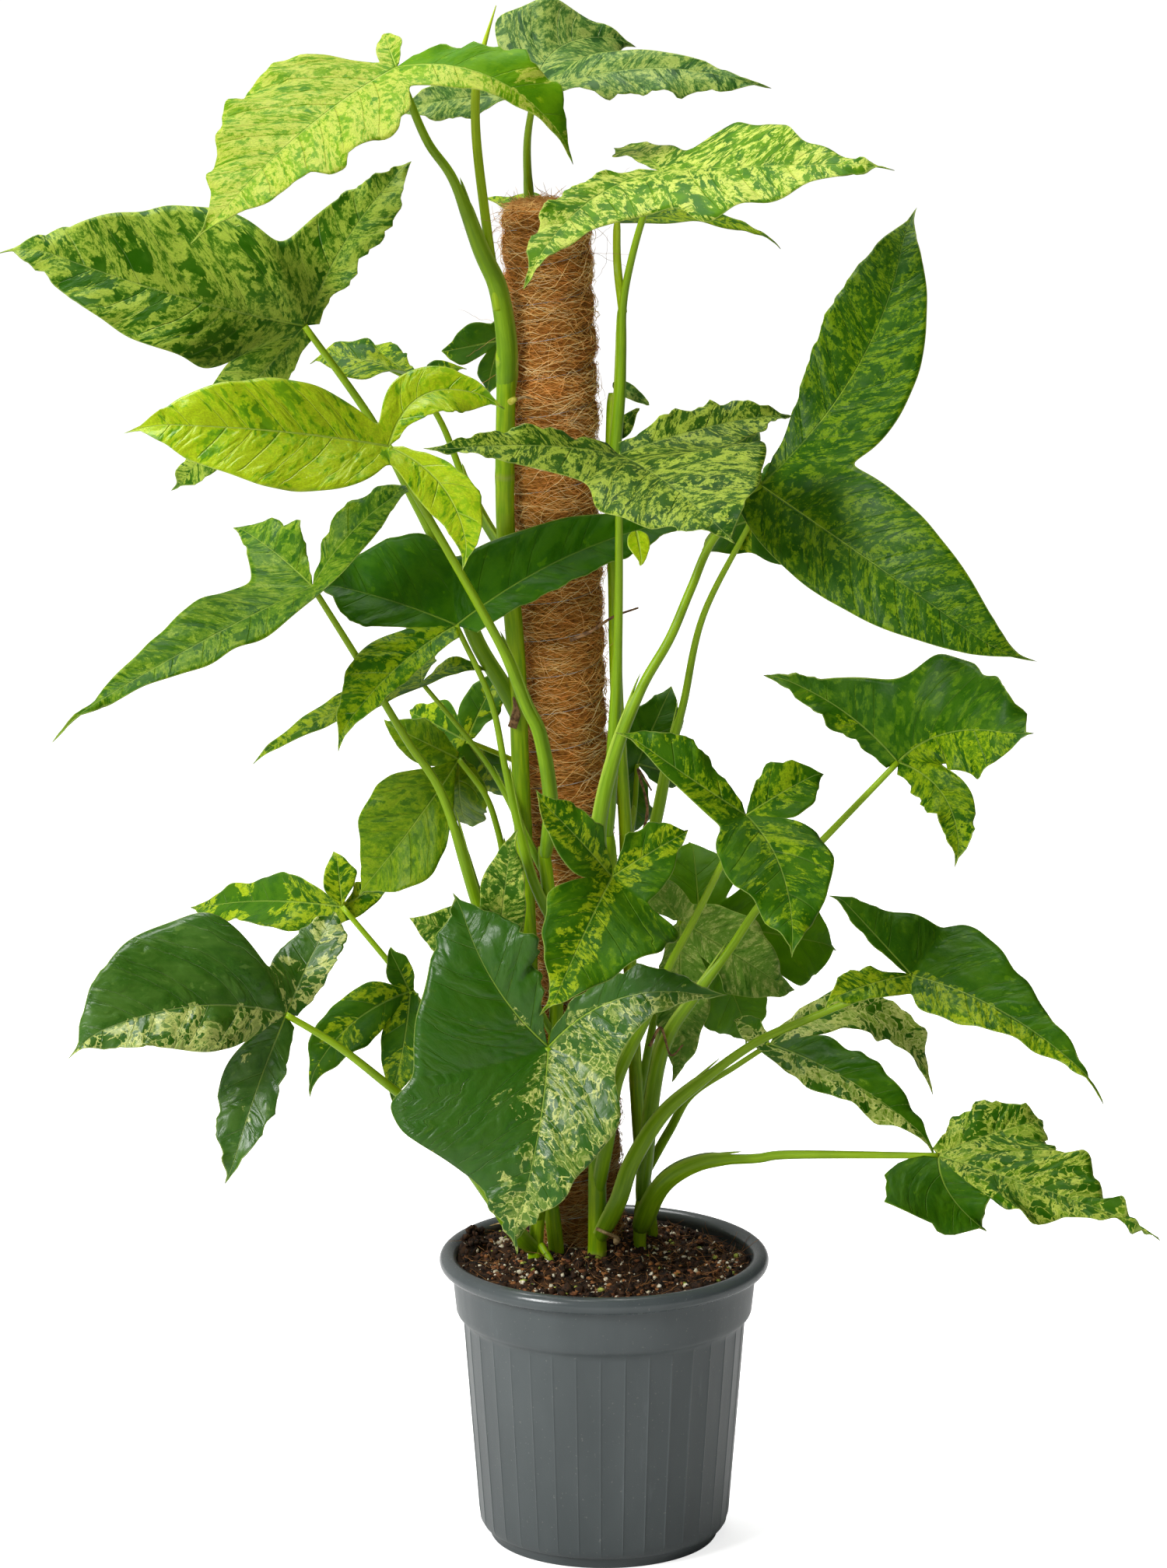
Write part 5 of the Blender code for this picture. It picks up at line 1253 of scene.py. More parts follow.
# %% Pot finish
pot_finish, tree, shader = new_finish("pot_slate_plastic", 0.4, 0.5)
place = own_place(tree)
cloud = noise(tree, stretched(tree, place, (14, 14, 5)), 1, 4, 0.55)
grain = noise(tree, place, 900, 2, 0.6)
scuffs = noise(tree, stretched(tree, place, (60, 60, 9)), 1, 5, 0.7)
grey = mix(tree, fade(tree, cloud, 0.3, 0.7), colour(66, 73, 74), colour(78, 85, 86))
grey = mix(tree, fade(tree, scuffs, 0.6, 0.8), grey, colour(112, 120, 123), 0.35)
dust = fade(tree, noise(tree, place, 420, 1), 0.71, 0.76)
grey = mix(tree, dust, grey, colour(150, 150, 142), 0.2)
paint(tree, shader, grey)
rim = fade(tree, node(tree, "SeparateXYZ", [place]).outputs[2], 0.2, 0.206)
roughness = calc(tree, "MULTIPLY_ADD", rim, -0.15, calc(tree, "MULTIPLY_ADD", scuffs, 0.3, 0.2))
paint(tree, shader, roughness, "Roughness")
add_bump(tree, shader, calc(tree, "ADD", grain, calc(tree, "MULTIPLY", cloud, 2)), 0.12, 0.0006)
print("pot finish ready")

# %% [markdown]
# Water leaves through a ring of holes in the floor, cut before the pot becomes a piece.

# %% Pot
DRAIN_HOLES = 8
DRAIN_CIRCLE = 6.2


def with_drain_holes(mesh):
    """Drill the drain holes with a Boolean, and keep its result as the mesh."""
    tubes = []
    for angle in 2 * math.pi * (np.arange(DRAIN_HOLES) + 0.5) / DRAIN_HOLES:
        x, y = DRAIN_CIRCLE * math.cos(angle), DRAIN_CIRCLE * math.sin(angle)
        tubes.append(tube_grid(np.array([(x, y, z) for z in (-1, -0.5, 0.7, 1)]), 0.5, 24))
    drill = bpy.data.objects.new("drain_drill", grid_mesh("drain_drill", tubes))
    body = bpy.data.objects.new("pot_blank", mesh)
    for obj in (drill, body):
        scene.collection.objects.link(obj)
    cut = body.modifiers.new("holes", "BOOLEAN")
    cut.object = drill
    cut.solver = "EXACT"
    depsgraph = bpy.context.evaluated_depsgraph_get()
    made = bpy.data.meshes.new_from_object(body.evaluated_get(depsgraph))
    for obj in (drill, body):
        bpy.data.objects.remove(obj)
    return made


pot = add_piece("pot_moulded", with_drain_holes(pot_mesh), pot_finish, sharp=50)
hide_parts("pot")
print("pot faces:", len(pot.data.polygons))

# %% [markdown]
# ## Potting mix
# Peat is a dark mass of crumbs with white perlite, chips of bark and loose root fibres, and it never lies
# level. Its surface here is a polar grid with a height made of sine waves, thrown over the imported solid's
# top, and thousands of small lumps lie on it.

# %% Ground height
SOIL_TOP = 20.75
SOIL_EDGE = 10.66


def ground(x, y):
    """Height of the potting mix: a low dome, slow and fast waves, a clump on the left and a hollow."""
    r = np.hypot(x, y)
    waves = (0.16 * np.sin(0.9 * x + 1.1 * np.sin(0.7 * y))
             + 0.13 * np.sin(1.3 * y + 0.8 * np.sin(1.1 * x + 2)))
    small = (0.1 * np.sin(2.6 * x + 2.2 * y) + 0.08 * np.sin(3.7 * y - 2.9 * x + 1)
             + 0.06 * np.sin(5.9 * x + 1.5 * np.sin(4 * y)))
    clump = 1.0 * np.exp(-((x + 9.7)**2 + (y - 1.9)**2) / 1.4)
    hollow = -0.8 * np.exp(-((x - 7.2)**2 + (y - 4)**2) / 12)
    inside = np.clip((SOIL_EDGE - r) / 1.5, 0, 1)
    dome = 0.5 * (1 - (r / SOIL_EDGE)**2)
    return SOIL_TOP + dome + (0.35 + 0.65 * inside) * (waves + small) + clump + hollow


print("ground height at the centre:", float(ground(0, 0)))

# %% [markdown]
# Lumps and fibres are built by the thousand, so each function makes all of them at once.

# %% Lump and fibre meshes
def blobs(places, sizes, draw, rough=0.35, flat=1.0):
    """Rough lumps: at every place a ball whose corners are pushed in and out by random factors."""
    ball = bmesh.new()
    bmesh.ops.create_icosphere(ball, subdivisions=1, radius=1)
    corners = np.array([vert.co[:] for vert in ball.verts])
    tris = np.array([[vert.index for vert in face.verts] for face in ball.faces])
    ball.free()
    count = len(places)
    turns, _ = np.linalg.qr(draw.normal(size=(count, 3, 3)))
    turns = turns * np.sign(np.linalg.det(turns))[:, None, None]
    factors = 1 + draw.uniform(-rough, rough, (count, len(corners), 1))
    stretch = draw.uniform(0.6, 1.25, (count, 1, 3))
    points = corners[None] * factors * stretch * sizes[:, None, None]
    points = np.einsum("nij,nkj->nki", turns, points) * np.array([1, 1, flat]) + places[:, None]
    faces = tris[None] + (np.arange(count) * len(corners))[:, None, None]
    return points.reshape(-1, 3), faces.reshape(-1, 3)


def hairs(starts, ways, lengths, radius, draw, curl=0.8, steps=7):
    """Thin fibres, each of which turns a little at every step."""
    count = len(starts)
    ways = unit(ways)
    bends = draw.normal(size=(count, 3)) * curl
    share = np.linspace(0, 1, steps + 1)[None, :, None]
    kinks = 0.25 * draw.normal(size=(count, steps + 1, 3)) * curl
    heading = unit(ways[:, None] + share * bends[:, None] + kinks)
    strides = np.cumsum(heading[:, :-1] * (lengths / steps)[:, None, None], axis=1)
    return strands(starts[:, None] + np.concatenate([np.zeros((count, 1, 3)), strides], axis=1), radius)


def strands(path, radius):
    """Three-sided tubes along many paths at once, thinner at both ends, each closed by two triangles."""
    count, steps = path.shape[0], path.shape[1]
    heading = unit(np.gradient(path, axis=1))
    across = unit(np.cross(heading, np.array([0.37, 0.41, 0.83])))
    beside = np.cross(heading, across)
    turn = np.arange(3) * 2 * math.pi / 3
    share = np.linspace(0, 1, steps)
    size = radius * (0.35 + 0.65 * np.sin(math.pi * share)**0.5)[None, :, None, None]
    cos, sin = np.cos(turn)[:, None], np.sin(turn)[:, None]
    ring = path[:, :, None] + size * (cos * across[:, :, None] + sin * beside[:, :, None])
    index = (np.arange(count)[:, None, None] * steps + np.arange(steps - 1)[None, :, None]) * 3
    side, other = np.arange(3)[None, None, :], (np.arange(3) + 1)[None, None, :] % 3
    quads = np.stack([index + side, index + other, index + 3 + other, index + 3 + side], axis=-1)
    first = np.arange(count)[:, None] * steps * 3
    caps = np.concatenate([first + np.array([2, 1, 0]), first + (steps - 1) * 3 + np.array([0, 1, 2])])
    return ring.reshape(-1, 3), quads.reshape(-1, 4), caps


print("lump and fibre helpers ready")

# %% [markdown]
# The solid under the lumps is a closed lathe grid like the pot's, so that it fills the pot down to the floor.
# Its finish is a near black brown with warmer crumbs, rough and damp.

# %% Potting mix
soil_finish, tree, shader = new_finish("peat", 0.92, 0.25)
place = own_place(tree)
lumps = noise(tree, place, 130, 6, 0.7)
warm = noise(tree, place, 45, 3, 0.6)
brown = mix(tree, fade(tree, lumps, 0.35, 0.68), colour(14, 8, 3), colour(70, 46, 26))
brown = mix(tree, fade(tree, warm, 0.5, 0.7), brown, colour(104, 68, 38), 0.4)
paint(tree, shader, brown)
add_bump(tree, shader, lumps, 0.9, 0.004)

rings = np.linspace(0, SOIL_EDGE, 78)
turns = np.linspace(0, 2 * math.pi, 241)
top = np.stack([rings[:, None] * np.cos(turns), rings[:, None] * np.sin(turns)], axis=-1)
heights = ground(top[..., 0], top[..., 1])
rough = np.random.default_rng(7).normal(size=heights.shape) * 0.05
rough = rough * np.clip((SOIL_EDGE - rings) / 0.5, 0, 1)[:, None]
rough[:, -1] = rough[:, 0]  # the seam
rough[0] = 0  # the centre
top = np.concatenate([top, (heights + rough)[..., None]], axis=-1)
wall = [(10.55, 18.4), (10.42, 17.4), (9.97, 16.2), (8.8, 1.5), (8.3, 0.4), (0, 0.4)]
below = np.array([np.stack([r * np.cos(turns), r * np.sin(turns), z + 0 * turns], axis=-1) for r, z in wall])
soil_mesh = grid_mesh("potting_mix", [np.concatenate([top, below])], flips=[True])
soil = add_piece("potting_mix", soil_mesh, soil_finish)
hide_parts("soil")
print("potting mix faces:", len(soil.data.polygons))

# %% [markdown]
# Five kinds of lumps lie on top. Perlite is puffed white glass, so its grains are light, rounded and of all
# sizes up to 8 mm. Crumbs of peat are dark or warm, bark is flat and brown, and a few green bits are moss.
# Loose root fibres lie among them.

# %% Lumps
CRUMBS, WARM_CRUMBS, CLUMP_CRUMBS = 4000, 1100, 60
BIG_CRUMBS = slice(1500, 1620)
PERLITE, BARK, MOSS, FIBRES = 950, 170, 70, 420


def speckled_finish(name, dark, light, scale, roughness=0.85):
    """Two colours mixed by noise, with a bump to match."""
    material, tree, shader = new_finish(name, roughness, 0.3)
    cloud = noise(tree, own_place(tree), scale, 4, 0.65)
    speckles = mix(tree, fade(tree, cloud, 0.38, 0.62), colour(*dark), colour(*light))
    paint(tree, shader, speckles)
    add_bump(tree, shader, cloud, 0.5, 0.001)
    return material


def on_ground(x, y, proud):
    """Points on the potting mix, `proud` centimetres above it."""
    return np.stack([x, y, ground(x, y) + proud], axis=-1)


def scatter(count, draw, proud=0.0):
    """Random places on the ground, spread evenly over the disc."""
    r, t = 10.35 * np.sqrt(draw.uniform(0, 1, count)), draw.uniform(0, 2 * math.pi, count)
    return on_ground(r * np.cos(t), r * np.sin(t), proud)


def soil_piece(name, lumps, finish):
    """Lumps or fibres, given in centimetres, as a piece."""
    points, *faces = lumps
    mesh, _ = array_mesh(name, points * CM, faces)
    piece = add_piece(name, mesh, finish)


draw = np.random.default_rng(11)
places = scatter(CRUMBS, draw)
sizes = 0.042 + 0.34 * draw.uniform(0, 1, CRUMBS)**4
sizes[BIG_CRUMBS] += 0.2
# A clump at the left edge.
t = draw.normal(2.95, 0.07, CLUMP_CRUMBS)
r = 9.8 + draw.normal(0, 0.35, CLUMP_CRUMBS)
clump = on_ground(r * np.cos(t), r * np.sin(t), 0.1 + 0.9 * draw.uniform(0, 1, CLUMP_CRUMBS))
places = np.concatenate([places, clump])
sizes = np.concatenate([sizes, draw.uniform(0.15, 0.34, CLUMP_CRUMBS)])
soil_piece("soil_crumbs", blobs(places[WARM_CRUMBS:], sizes[WARM_CRUMBS:], draw, 0.42),
           speckled_finish("crumb_dark", (9, 5, 1), (64, 40, 21), 260))
soil_piece("soil_crumbs_warm", blobs(places[:WARM_CRUMBS], 0.9 * sizes[:WARM_CRUMBS], draw, 0.42, 0.8),
           speckled_finish("crumb_brown", (52, 30, 13), (164, 108, 60), 240))
places, sizes = scatter(PERLITE, draw, 0.05), 0.03 + 0.21 * draw.uniform(0, 1, PERLITE)**3.5
soil_piece("soil_perlite", blobs(places, sizes, draw, 0.34),
           speckled_finish("perlite_white", (184, 172, 140), (244, 236, 214), 330, 0.8))
places, sizes = scatter(BARK, draw, 0.06), draw.uniform(0.12, 0.36, BARK)
soil_piece("soil_bark", blobs(places, sizes, draw, 0.3, 0.45),
           speckled_finish("bark_chip", (78, 44, 26), (136, 86, 52), 180))
places, sizes = scatter(MOSS, draw, 0.08), draw.uniform(0.07, 0.27, MOSS)
soil_piece("soil_moss", blobs(places, sizes, draw, 0.35, 0.6),
           speckled_finish("moss_green", (104, 120, 36), (184, 192, 88), 260))
places = scatter(FIBRES, draw, 0.1)
ways = np.stack([draw.normal(size=FIBRES), draw.normal(size=FIBRES), 0.35 * draw.uniform(0, 1, FIBRES)],
                axis=-1)
soil_piece("soil_fibres", hairs(places, ways, draw.uniform(0.6, 3.0, FIBRES), 0.022, draw),
           speckled_finish("root_fibre", (86, 54, 28), (168, 118, 68), 120))
print("lumps:", CRUMBS + CLUMP_CRUMBS + PERLITE + BARK + MOSS, "and fibres:", FIBRES)

# %% [markdown]
# ## Coir pole
# A coir pole is a stake wrapped in coconut fibre, which a clear nylon thread ties down in turns. The fibres
# lie mostly across the pole, cross each other and stick out in places. The core is a turned grid with soft
# waists where the thread pulls. Over it lie thousands of three-sided strands, each a path on the core's
# surface whose turn grows evenly while its height wanders.

# %% Coir core
POLE_FOOT = np.array([-1.1, 4.5, 1.2])
POLE_TOP = np.array([-4.2, 4.7, 97.6])
POLE_WAY = unit(POLE_TOP - POLE_FOOT)
POLE_SIDE = unit(np.cross(np.array([0, 1.0, 0]), POLE_WAY))
POLE_BACK = np.cross(POLE_WAY, POLE_SIDE)
POLE_LENGTH = float(np.linalg.norm(POLE_TOP - POLE_FOOT))
COIR_RADIUS = 3.3
COIR_START = 12
THREAD_PITCH = 2.7


def pole_radius(turn, height):
    """Radius of the coir: waists under the thread, slow bulges, and a rounded top."""
    thread = (height / THREAD_PITCH - turn / (2 * math.pi)) % 1
    waist = np.exp(-((thread - 0.5) / 0.13)**2)
    bulge = (0.05 * np.sin(0.31 * height + turn) + 0.05 * np.sin(0.17 * height - 2 * turn)
             + 0.03 * np.sin(1.1 * height + 3 * turn))
    left = np.clip((POLE_LENGTH - height) / 1.4, 0, 1)
    return (COIR_RADIUS - 0.16 + bulge - 0.3 * waist) * (0.6 + 0.4 * np.sqrt(1 - (1 - left)**2))


def outward(turn, r=1.0):
    """The way out from the pole's axis at each turn, `r` long."""
    return (r * np.cos(turn))[..., None] * POLE_SIDE + (r * np.sin(turn))[..., None] * POLE_BACK


def on_pole(turn, height, proud=0.0):
    """Points on the coir's surface, `proud` centimetres above it."""
    return POLE_FOOT + height[..., None] * POLE_WAY + outward(turn, pole_radius(turn, height) + proud)


def shaded_below(tree, unshaded):
    """The same colour with painted shade: darker towards the ground, for the shadow that falls on the pole's
    lower part.
    """
    shade_share = fade_out(tree, node(tree, "SeparateXYZ", [own_place(tree)]).outputs[2], 0.22, 0.62)
    return mix(tree, shade_share, unshaded, colour(52, 24, 8), 0.4)


coir_core_finish, tree, shader = new_finish("coir_core", 0.95, 0.15)
around = node(tree, "UVMap", uv_map="around").outputs[0]
layers = noise(tree, stretched(tree, around, (2.2, 9, 1)), 1, 6, 0.7)
# The dark gaps are painted shade, the shade that falls between the fibres over the core.
shaded_gaps = noise(tree, stretched(tree, around, (1.2, 2.2, 1)), 1, 3, 0.6)
brown = mix(tree, fade(tree, layers, 0.35, 0.66), colour(140, 84, 26), colour(240, 162, 74))
brown = mix(tree, fade(tree, shaded_gaps, 0.52, 0.66), brown, colour(92, 54, 16), 0.6)
# Painted shade: the core's colour grows darker towards the ground.
paint(tree, shader, shaded_below(tree, brown))
add_bump(tree, shader, layers, 1.0, 0.004)

turns = np.linspace(0, 2 * math.pi, 49)
heights = np.concatenate([np.linspace(COIR_START, POLE_LENGTH - 1, 320),
                          POLE_LENGTH - 1 + np.linspace(0.1, 1, 8)])
core = on_pole(turns[None, :] + 0 * heights[:, None], heights[:, None] + 0 * turns[None, :])
bottom, top = (np.broadcast_to(POLE_FOOT + height * POLE_WAY, (1, len(turns), 3))
               for height in (COIR_START, POLE_LENGTH))
core = np.concatenate([bottom, core, top])
core_map = np.stack(np.broadcast_arrays(turns[None, :] * COIR_RADIUS, with_ends(heights)[:, None]), axis=-1)
coir = add_piece("coir_core", grid_mesh("coir_core", [core], {"around": [core_map]}), coir_core_finish)
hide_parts("pole_coir")
print("coir core faces:", len(coir.data.polygons))

# %% [markdown]
# A strand's place along the pole is random, but its slope isn't: most lie within 15 degrees of level and one
# in twelve runs steeply. Strands of one kind share a finish, and the kinds from dark to pale tan lie one over
# the other. The tones are coir's own, and their order is painted shade and painted highlight: the darkest lie
# deepest and the palest on top, which gives the depth of a real mat.

# %% Coir strands
def strand_paths(count, draw, reach, slope, proud, steps=7):
    """Paths on the coir: the turn grows by the strand's reach, and the height by its slope plus a bow."""
    size = (count, 1)
    share = np.linspace(0, 1, steps)[None, :]
    start_turn = draw.uniform(0, 2 * math.pi, size)
    start_height = draw.uniform(14, POLE_LENGTH - 0.5, size)
    length = draw.uniform(*reach, size)
    angle = draw.normal(0, slope, size)
    turn = start_turn + share * length * np.cos(angle) / COIR_RADIUS
    bow = draw.normal(0, 0.14, size) * length * np.sin(math.pi * share)
    wiggle = draw.normal(0, 0.032, size) * length * np.sin(3.2 * math.pi * share + draw.uniform(0, 6, size))
    height = start_height + share * length * np.sin(angle) + bow + wiggle
    height = np.clip(height, COIR_START + 0.5, POLE_LENGTH - 0.12 - 0.3 * draw.uniform(0, 1, size))
    lift = draw.uniform(0, 1, size)**1.5 + 0.25 * np.sin(math.pi * share * draw.integers(1, 4, size))
    return on_pole(turn, height, proud * lift)


def coir_finish(name, dark, light):
    """A fibre's colour varies from one place to the next, and it shines a little along its length."""
    material, tree, shader = new_finish(name, 0.62, 0.35)
    cloud = noise(tree, stretched(tree, own_place(tree), (300, 300, 900)), 1, 3, 0.6)
    slow = noise(tree, own_place(tree), 55, 2)
    both = calc(tree, "MULTIPLY", calc(tree, "ADD", cloud, slow), 0.5)
    fibre = mix(tree, fade(tree, both, 0.38, 0.62), colour(*dark), colour(*light))
    # Painted shade: the fibres' colour grows darker towards the ground.
    paint(tree, shader, shaded_below(tree, fibre))
    add_bump(tree, shader, cloud, 0.3, 0.0004)
    return material


def coir_piece(name, fibres, finish):
    """Fibres, given in centimetres, as a piece."""
    points, *faces = fibres
    mesh, _ = array_mesh(name, points * CM, faces)
    piece = add_piece(name, mesh, finish)


# Each kind: its count, the strands' lengths, their slope, how proud they lie, their radius and two colours.
KINDS = {
    "coir_strands_dark": (1700, (2, 5.5), 0.2, 0.05, 0.026, (174, 106, 34), (230, 154, 66)),
    "coir_strands_brown": (2500, (1.5, 5), 0.22, 0.2, 0.022, (248, 166, 76), (255, 210, 126)),
    "coir_strands_ochre": (2050, (1.5, 5), 0.22, 0.22, 0.022, (242, 158, 68), (255, 204, 114)),
    "coir_strands_tan": (1750, (1.5, 5.5), 0.28, 0.38, 0.026, (250, 202, 120), (255, 230, 172)),
    "coir_strands_steep": (720, (1, 3.5), 0.8, 0.34, 0.021, (252, 178, 90), (255, 222, 146)),
}
for index, (name, (count, reach, slope, proud, thick, dark, light)) in enumerate(KINDS.items()):
    paths = strand_paths(count, np.random.default_rng(40 + index), reach, slope, proud)
    coir_piece(name, strands(paths, thick), coir_finish(name + "_fibre", dark, light))
print("coir strands:", sum(kind[0] for kind in KINDS.values()))

# %% [markdown]
# Loose ends stand off the pole, most of all at its top, where a tuft of cut fibres covers its end.

# %% Loose ends
ENDS, TOP_ENDS, TUFT, STRAYS = 300, 120, 420, 26

draw = np.random.default_rng(61)
count = ENDS + TOP_ENDS
turn = draw.uniform(0, 2 * math.pi, count)
height = np.concatenate([draw.uniform(16, POLE_LENGTH - 1, ENDS),
                         POLE_LENGTH - draw.uniform(0.1, 1.8, TOP_ENDS)])
way = 0.7 * outward(turn) + np.cross(POLE_WAY, outward(turn)) * draw.choice([-1, 1], count)[:, None]
way = way + draw.normal(size=(count, 1)) * 0.5 * POLE_WAY
lengths = 0.6 + 3.2 * draw.uniform(0, 1, count)**3
coir_piece("coir_loose_ends", hairs(on_pole(turn, height, -0.1), way, lengths, 0.017, draw, 0.9),
           coir_finish("coir_loose_fibre", (168, 114, 52), (226, 172, 104)))

turn, r = draw.uniform(0, 2 * math.pi, TUFT), 2.7 * np.sqrt(draw.uniform(0, 1, TUFT))
drop = 0.05 - 0.3 * np.clip((r - 1.9) / 0.8, 0, 1)
start = POLE_TOP + outward(turn, r) + drop[:, None] * POLE_WAY
way = draw.normal(size=(TUFT, 3)) * (1, 1, 0.12)
coir_piece("coir_top_tuft", hairs(start - unit(way) * 0.9, way, draw.uniform(1, 3, TUFT), 0.022, draw, 0.45),
           coir_finish("coir_tuft_fibre", (214, 144, 60), (255, 212, 130)))

turn = draw.uniform(2.0, 7.2, STRAYS)
start = on_pole(turn, POLE_LENGTH - draw.uniform(0.2, 9, STRAYS), -0.1)
way = outward(turn) + draw.normal(size=(STRAYS, 3)) * (0.5, 0.5, 0.8)
coir_piece("coir_stray_fibres", hairs(start, way, draw.uniform(2.5, 6, STRAYS), 0.014, draw, 0.6, 16),
           coir_finish("coir_stray_fibre", (150, 104, 56), (206, 156, 96)))
print("loose ends:", count + TUFT + STRAYS)

# %% [markdown]
# The nylon thread is a long thin tube on a helix that sinks a little into the fibres.

# %% Nylon thread
thread_height = np.linspace(15, POLE_LENGTH - 1.6, 1200)
thread_turn = 2 * math.pi * (thread_height / THREAD_PITCH - 0.5)
thread_path = on_pole(thread_turn, thread_height, 0.1)
thread_finish, tree, shader = new_finish("nylon_thread", 0.25, 0.6)
shine = fade(tree, noise(tree, own_place(tree), 60, 2), 0.4, 0.6)
paint(tree, shader, mix(tree, shine, colour(214, 196, 170), colour(250, 246, 238)))
shader.inputs["Transmission Weight"].default_value = 0.4
thread_mesh = grid_mesh("nylon_thread", [tube_grid(thread_path, 0.03, 4)])
thread = add_piece("nylon_thread", thread_mesh, thread_finish)
print("thread turns:", round((thread_height[-1] - thread_height[0]) / THREAD_PITCH))

# %% [markdown]
# The stake shows only where the coir ends, inside the potting mix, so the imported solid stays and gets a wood
# finish of stretched noise.

# %% Stake
stake_finish, tree, shader = new_finish("stake_wood", 0.7, 0.3)
grain = noise(tree, stretched(tree, own_place(tree), (260, 260, 14)), 1, 4, 0.6)
wood = mix(tree, fade(tree, grain, 0.35, 0.65), colour(140, 112, 78), colour(186, 156, 112))
paint(tree, shader, wood)
add_bump(tree, shader, grain, 0.4, 0.001)
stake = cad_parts["pole_stake"]
stake.data.materials.clear()
stake.data.materials.append(stake_finish)
print("stake finished")

# %% [markdown]
# ## Stems
# The stems are jointed: every hand's width there is a node with a ring-shaped scar where a leaf sits. A stem
# is a tube along its route whose radius swells at each node, and a "scar" value marks the rings for the
# finish.

# %% Stems
NODE_SPACING = 8.5
STEM_SIDES = 28


def from_node(along, phase):
    """Distance along a stem to its nearest node."""
    return np.abs(((along / NODE_SPACING + phase) % 1) - 0.5) * NODE_SPACING


def jointed(length, phase):
    """A radius factor: a small swelling at every node, and a narrow end."""
    def shape(turn, u):
        apart = from_node(u * length, phase)
        narrow = 1 - 0.3 * np.clip((u * length - length + 1.5) / 1.5, 0, 1)**2
        return narrow * (0.93 + 0.06 * np.exp(-(apart / 0.45)**2)) + 0 * turn
    return shape


stem_finish, tree, shader = new_finish("stem_green", 0.4, 0.22)
around = node(tree, "UVMap", uv_map="around").outputs[0]
scar = node(tree, "Attribute", attribute_name="scar").outputs["Fac"]
lines = noise(tree, stretched(tree, around, (12, 0.25, 1)), 1, 3, 0.6)
cloud = noise(tree, own_place(tree), 40, 3)
green = mix(tree, fade(tree, lines, 0.35, 0.7), colour(112, 154, 0), colour(156, 188, 8))
green = mix(tree, fade(tree, cloud, 0.5, 0.75), green, colour(146, 166, 30), 0.4)
green = mix(tree, scar, green, colour(158, 154, 80), 0.45)
paint(tree, shader, green)
add_bump(tree, shader, calc(tree, "ADD", lines, calc(tree, "MULTIPLY", scar, 2)), 0.3, 0.001)

for index, (name, (route, foot_radius, top_radius)) in enumerate(STEMS.items()):
    foot = (*route[0][:2], SOIL_TOP - 6)
    path = smooth_route([foot] + route, 16)
    along = lengths_along(path)
    phase = 0.37 * index
    radius = foot_radius + (top_radius - foot_radius) * (along / along[-1])
    grid = tube_grid(path, radius, STEM_SIDES, shape=jointed(along[-1], phase))
    scars = per_point(grid, np.exp(-(from_node(with_ends(along), phase) / 0.14)**2))
    mesh = grid_mesh(name + "_vine", [grid], {"around": [tube_map(path, STEM_SIDES)]}, {"scar": [scars]})
    vine = add_piece(name + "_vine", mesh, stem_finish)
    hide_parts(name)
print("stems:", len(STEMS))

# %% [markdown]
# ## Young leaves
# A young leaf comes out rolled up like an umbrella. In section its radius grows evenly with the turn and
# steps back at the free edge, and the step winds slowly round the roll as it goes up.

# %% Spears
def rolled(turn, u):
    """A radius factor: it grows by a fifth round the turn, and the step winds along u."""
    wound = (turn / (2 * math.pi) + 0.9 * u) % 1
    return 0.9 + 0.2 * wound + 0 * u


SPEAR_SIDES = 36
spear_green = stalk_finish("spear_yellow_green", (136, 168, 10), (168, 190, 30))
for name, (route, radius) in SPEARS.items():
    path = smooth_route(route, 18)
    share = lengths_along(path) / lengths_along(path)[-1]
    taper = 1.25 - 0.35 * share - 0.78 * np.clip((share - 0.72) / 0.28, 0, 1)**1.2
    grid = tube_grid(path, radius * taper, SPEAR_SIDES, shape=rolled)
    values = {"along": [per_point(grid, with_ends(share))], "wing": [per_point(grid, 0.0)]}
    mesh = grid_mesh(name + "_roll", [grid], {"around": [tube_map(path, SPEAR_SIDES)]}, values)
    spear = add_piece(name + "_roll", mesh, spear_green)
    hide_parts(name)

# The aerial roots are dry and knobbly.
root_brown = speckled_finish("root_brown", (84, 58, 36), (146, 110, 72), 300)
for name, (route, radius) in ROOTS.items():
    path = smooth_route(route, 10)
    share = lengths_along(path) / lengths_along(path)[-1]
    knobs = np.random.default_rng(len(name)).uniform(0.85, 1.15, len(path))
    mesh = grid_mesh(name + "_dry", [tube_grid(path, radius * (1 - 0.5 * share) * knobs, 10)])
    root = add_piece(name + "_dry", mesh, root_brown)
    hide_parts(name)
print("young leaves:", len(SPEARS), "aerial roots:", len(ROOTS))

# %% [markdown]
# ## Small parts
# A plant that has grown for a year or two carries small left-overs: a bud with an aerial root at a node, a
# dry sheath at a foot, a cut stub, and bits of leaves that show behind the pole. They are tubes, some of them
# flat, and single lobes made by the same formula as the big leaves.

# %% Small parts
dry_finish = speckled_finish("dry_sheath", (132, 104, 62), (196, 170, 122), 220)
bud_finish = speckled_finish("bud_yellow", (176, 176, 40), (214, 206, 90), 200, 0.45)
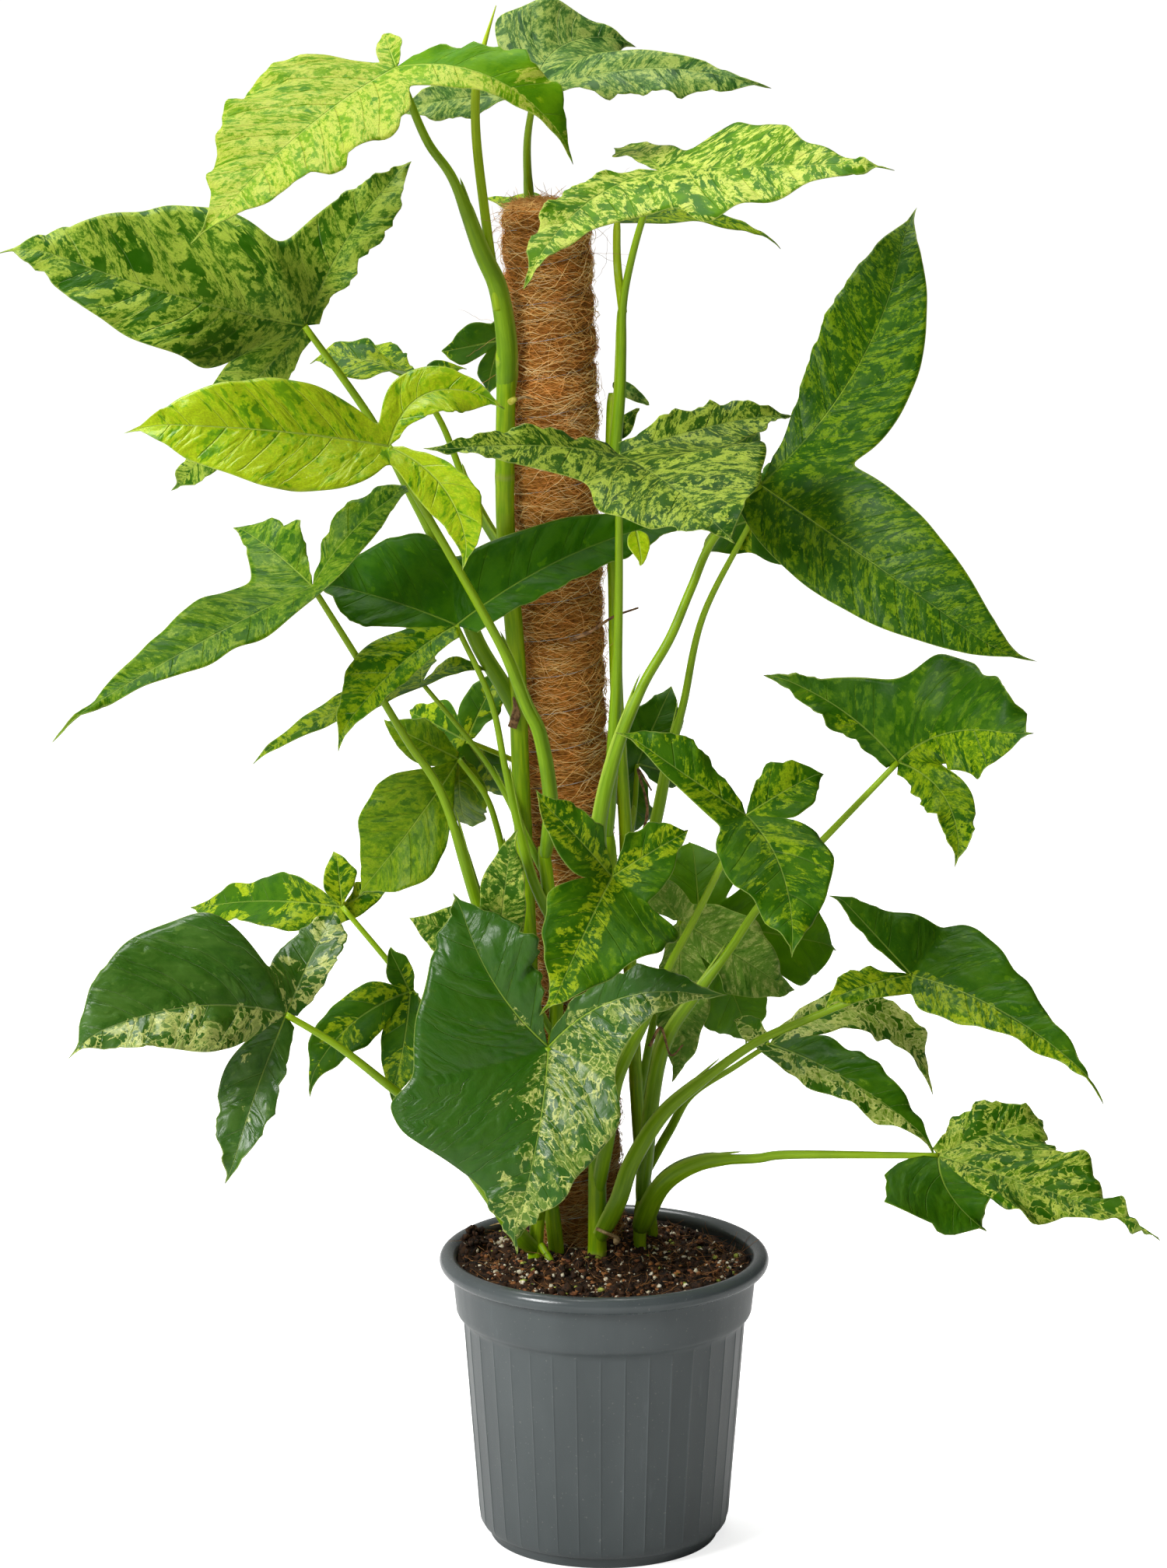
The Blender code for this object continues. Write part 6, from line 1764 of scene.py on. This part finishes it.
# Each small part: its route, radius, whether it is flat, its finish and its slot.
SMALL_PARTS = {
    "node_bud": ([(-6.7, 1.0, 83.9), (-6.45, 0.75, 84.1), (-6.2, 0.65, 84.2)], 0.23, None, bud_finish,
                 "stem"),
    "bud_root": ([(-6.3, 0.9, 84.1), (-5.7, 0.8, 84.3), (-5.0, 1.0, 84.1)], 0.09, None, dry_finish,
                 "aerial_root"),
    "node_bract": ([(-6.6, 0.6, 60.4), (-6.3, 0.2, 61.6), (-6.5, 0.1, 62.8)], 0.4, flat_tube, root_brown,
                   "aerial_root"),
    "cut_stub": ([(-4.6, -1.6, 22.4), (-4.2, -2.1, 21.9), (-3.4, -2.9, 20.9)], 0.28, None, stem_finish,
                 "stem"),
    "dry_sheath_front": ([(-0.5, -0.9, 23.4), (0.3, -1.2, 23.1), (0.9, -1.1, 22.8), (0.8, -1.0, 22.2)], 0.45,
                         flat_tube, dry_finish, "aerial_root"),
    "dry_sheath_left": ([(-5.8, -1.2, 22.4), (-6.4, -1.5, 23.6), (-7.3, -1.8, 24.1), (-8.3, -2.1, 24.0)], 0.2,
                        flat_tube, dry_finish, "aerial_root"),
}
for name, (route, radius, shape, finish, slot) in SMALL_PARTS.items():
    path = smooth_route(route, 8)
    share = np.linspace(0, 1, len(path))
    grid = tube_grid(path, radius * (1 - share**3)**0.5 + 0.01, 14, shape=shape)
    mesh = grid_mesh(name, [grid], {"around": [tube_map(path, 14)]}, {"scar": [per_point(grid, 0.0)]})
    add_piece(name, mesh, finish)

# Each bit of a leaf: where it starts, its tip, its half width, and the leaf whose look it has.
SCRAPS = {
    "leaf_bit_upper": ((0.6, 5, 84.6), (3.2, 4, 83.2), 0.55, 2),
    "leaf_bit_lower": ((0.8, 5, 80.6), (2.4, 4, 83.0), 0.6, 12),
    "leaf_bit_lime": ((2.2, -5.5, 75.9), (2.6, -7.5, 73.8), 0.8, 8),
}
faces = (unit(np.array([0.1, -0.9, 0.4])),) * 2
for name, (joint, tip, width, key) in SCRAPS.items():
    draw = np.random.default_rng(key)
    part = lobe(*tip, width)
    halves = [(*half_lobe(np.array(joint), faces, part, hand, (1.4, 0.05, 0), 22, 6, 0.8, draw), hand)
              for hand in (-1, 1)]
    finish = leaf_finish(name + "_marbled", key + 40, LOOKS[key])
    scrap = add_piece(name, blade_mesh(name, halves, (0, 0)), finish, underside)
    thicken(scrap)
print("small parts:", len(SMALL_PARTS) + len(SCRAPS))
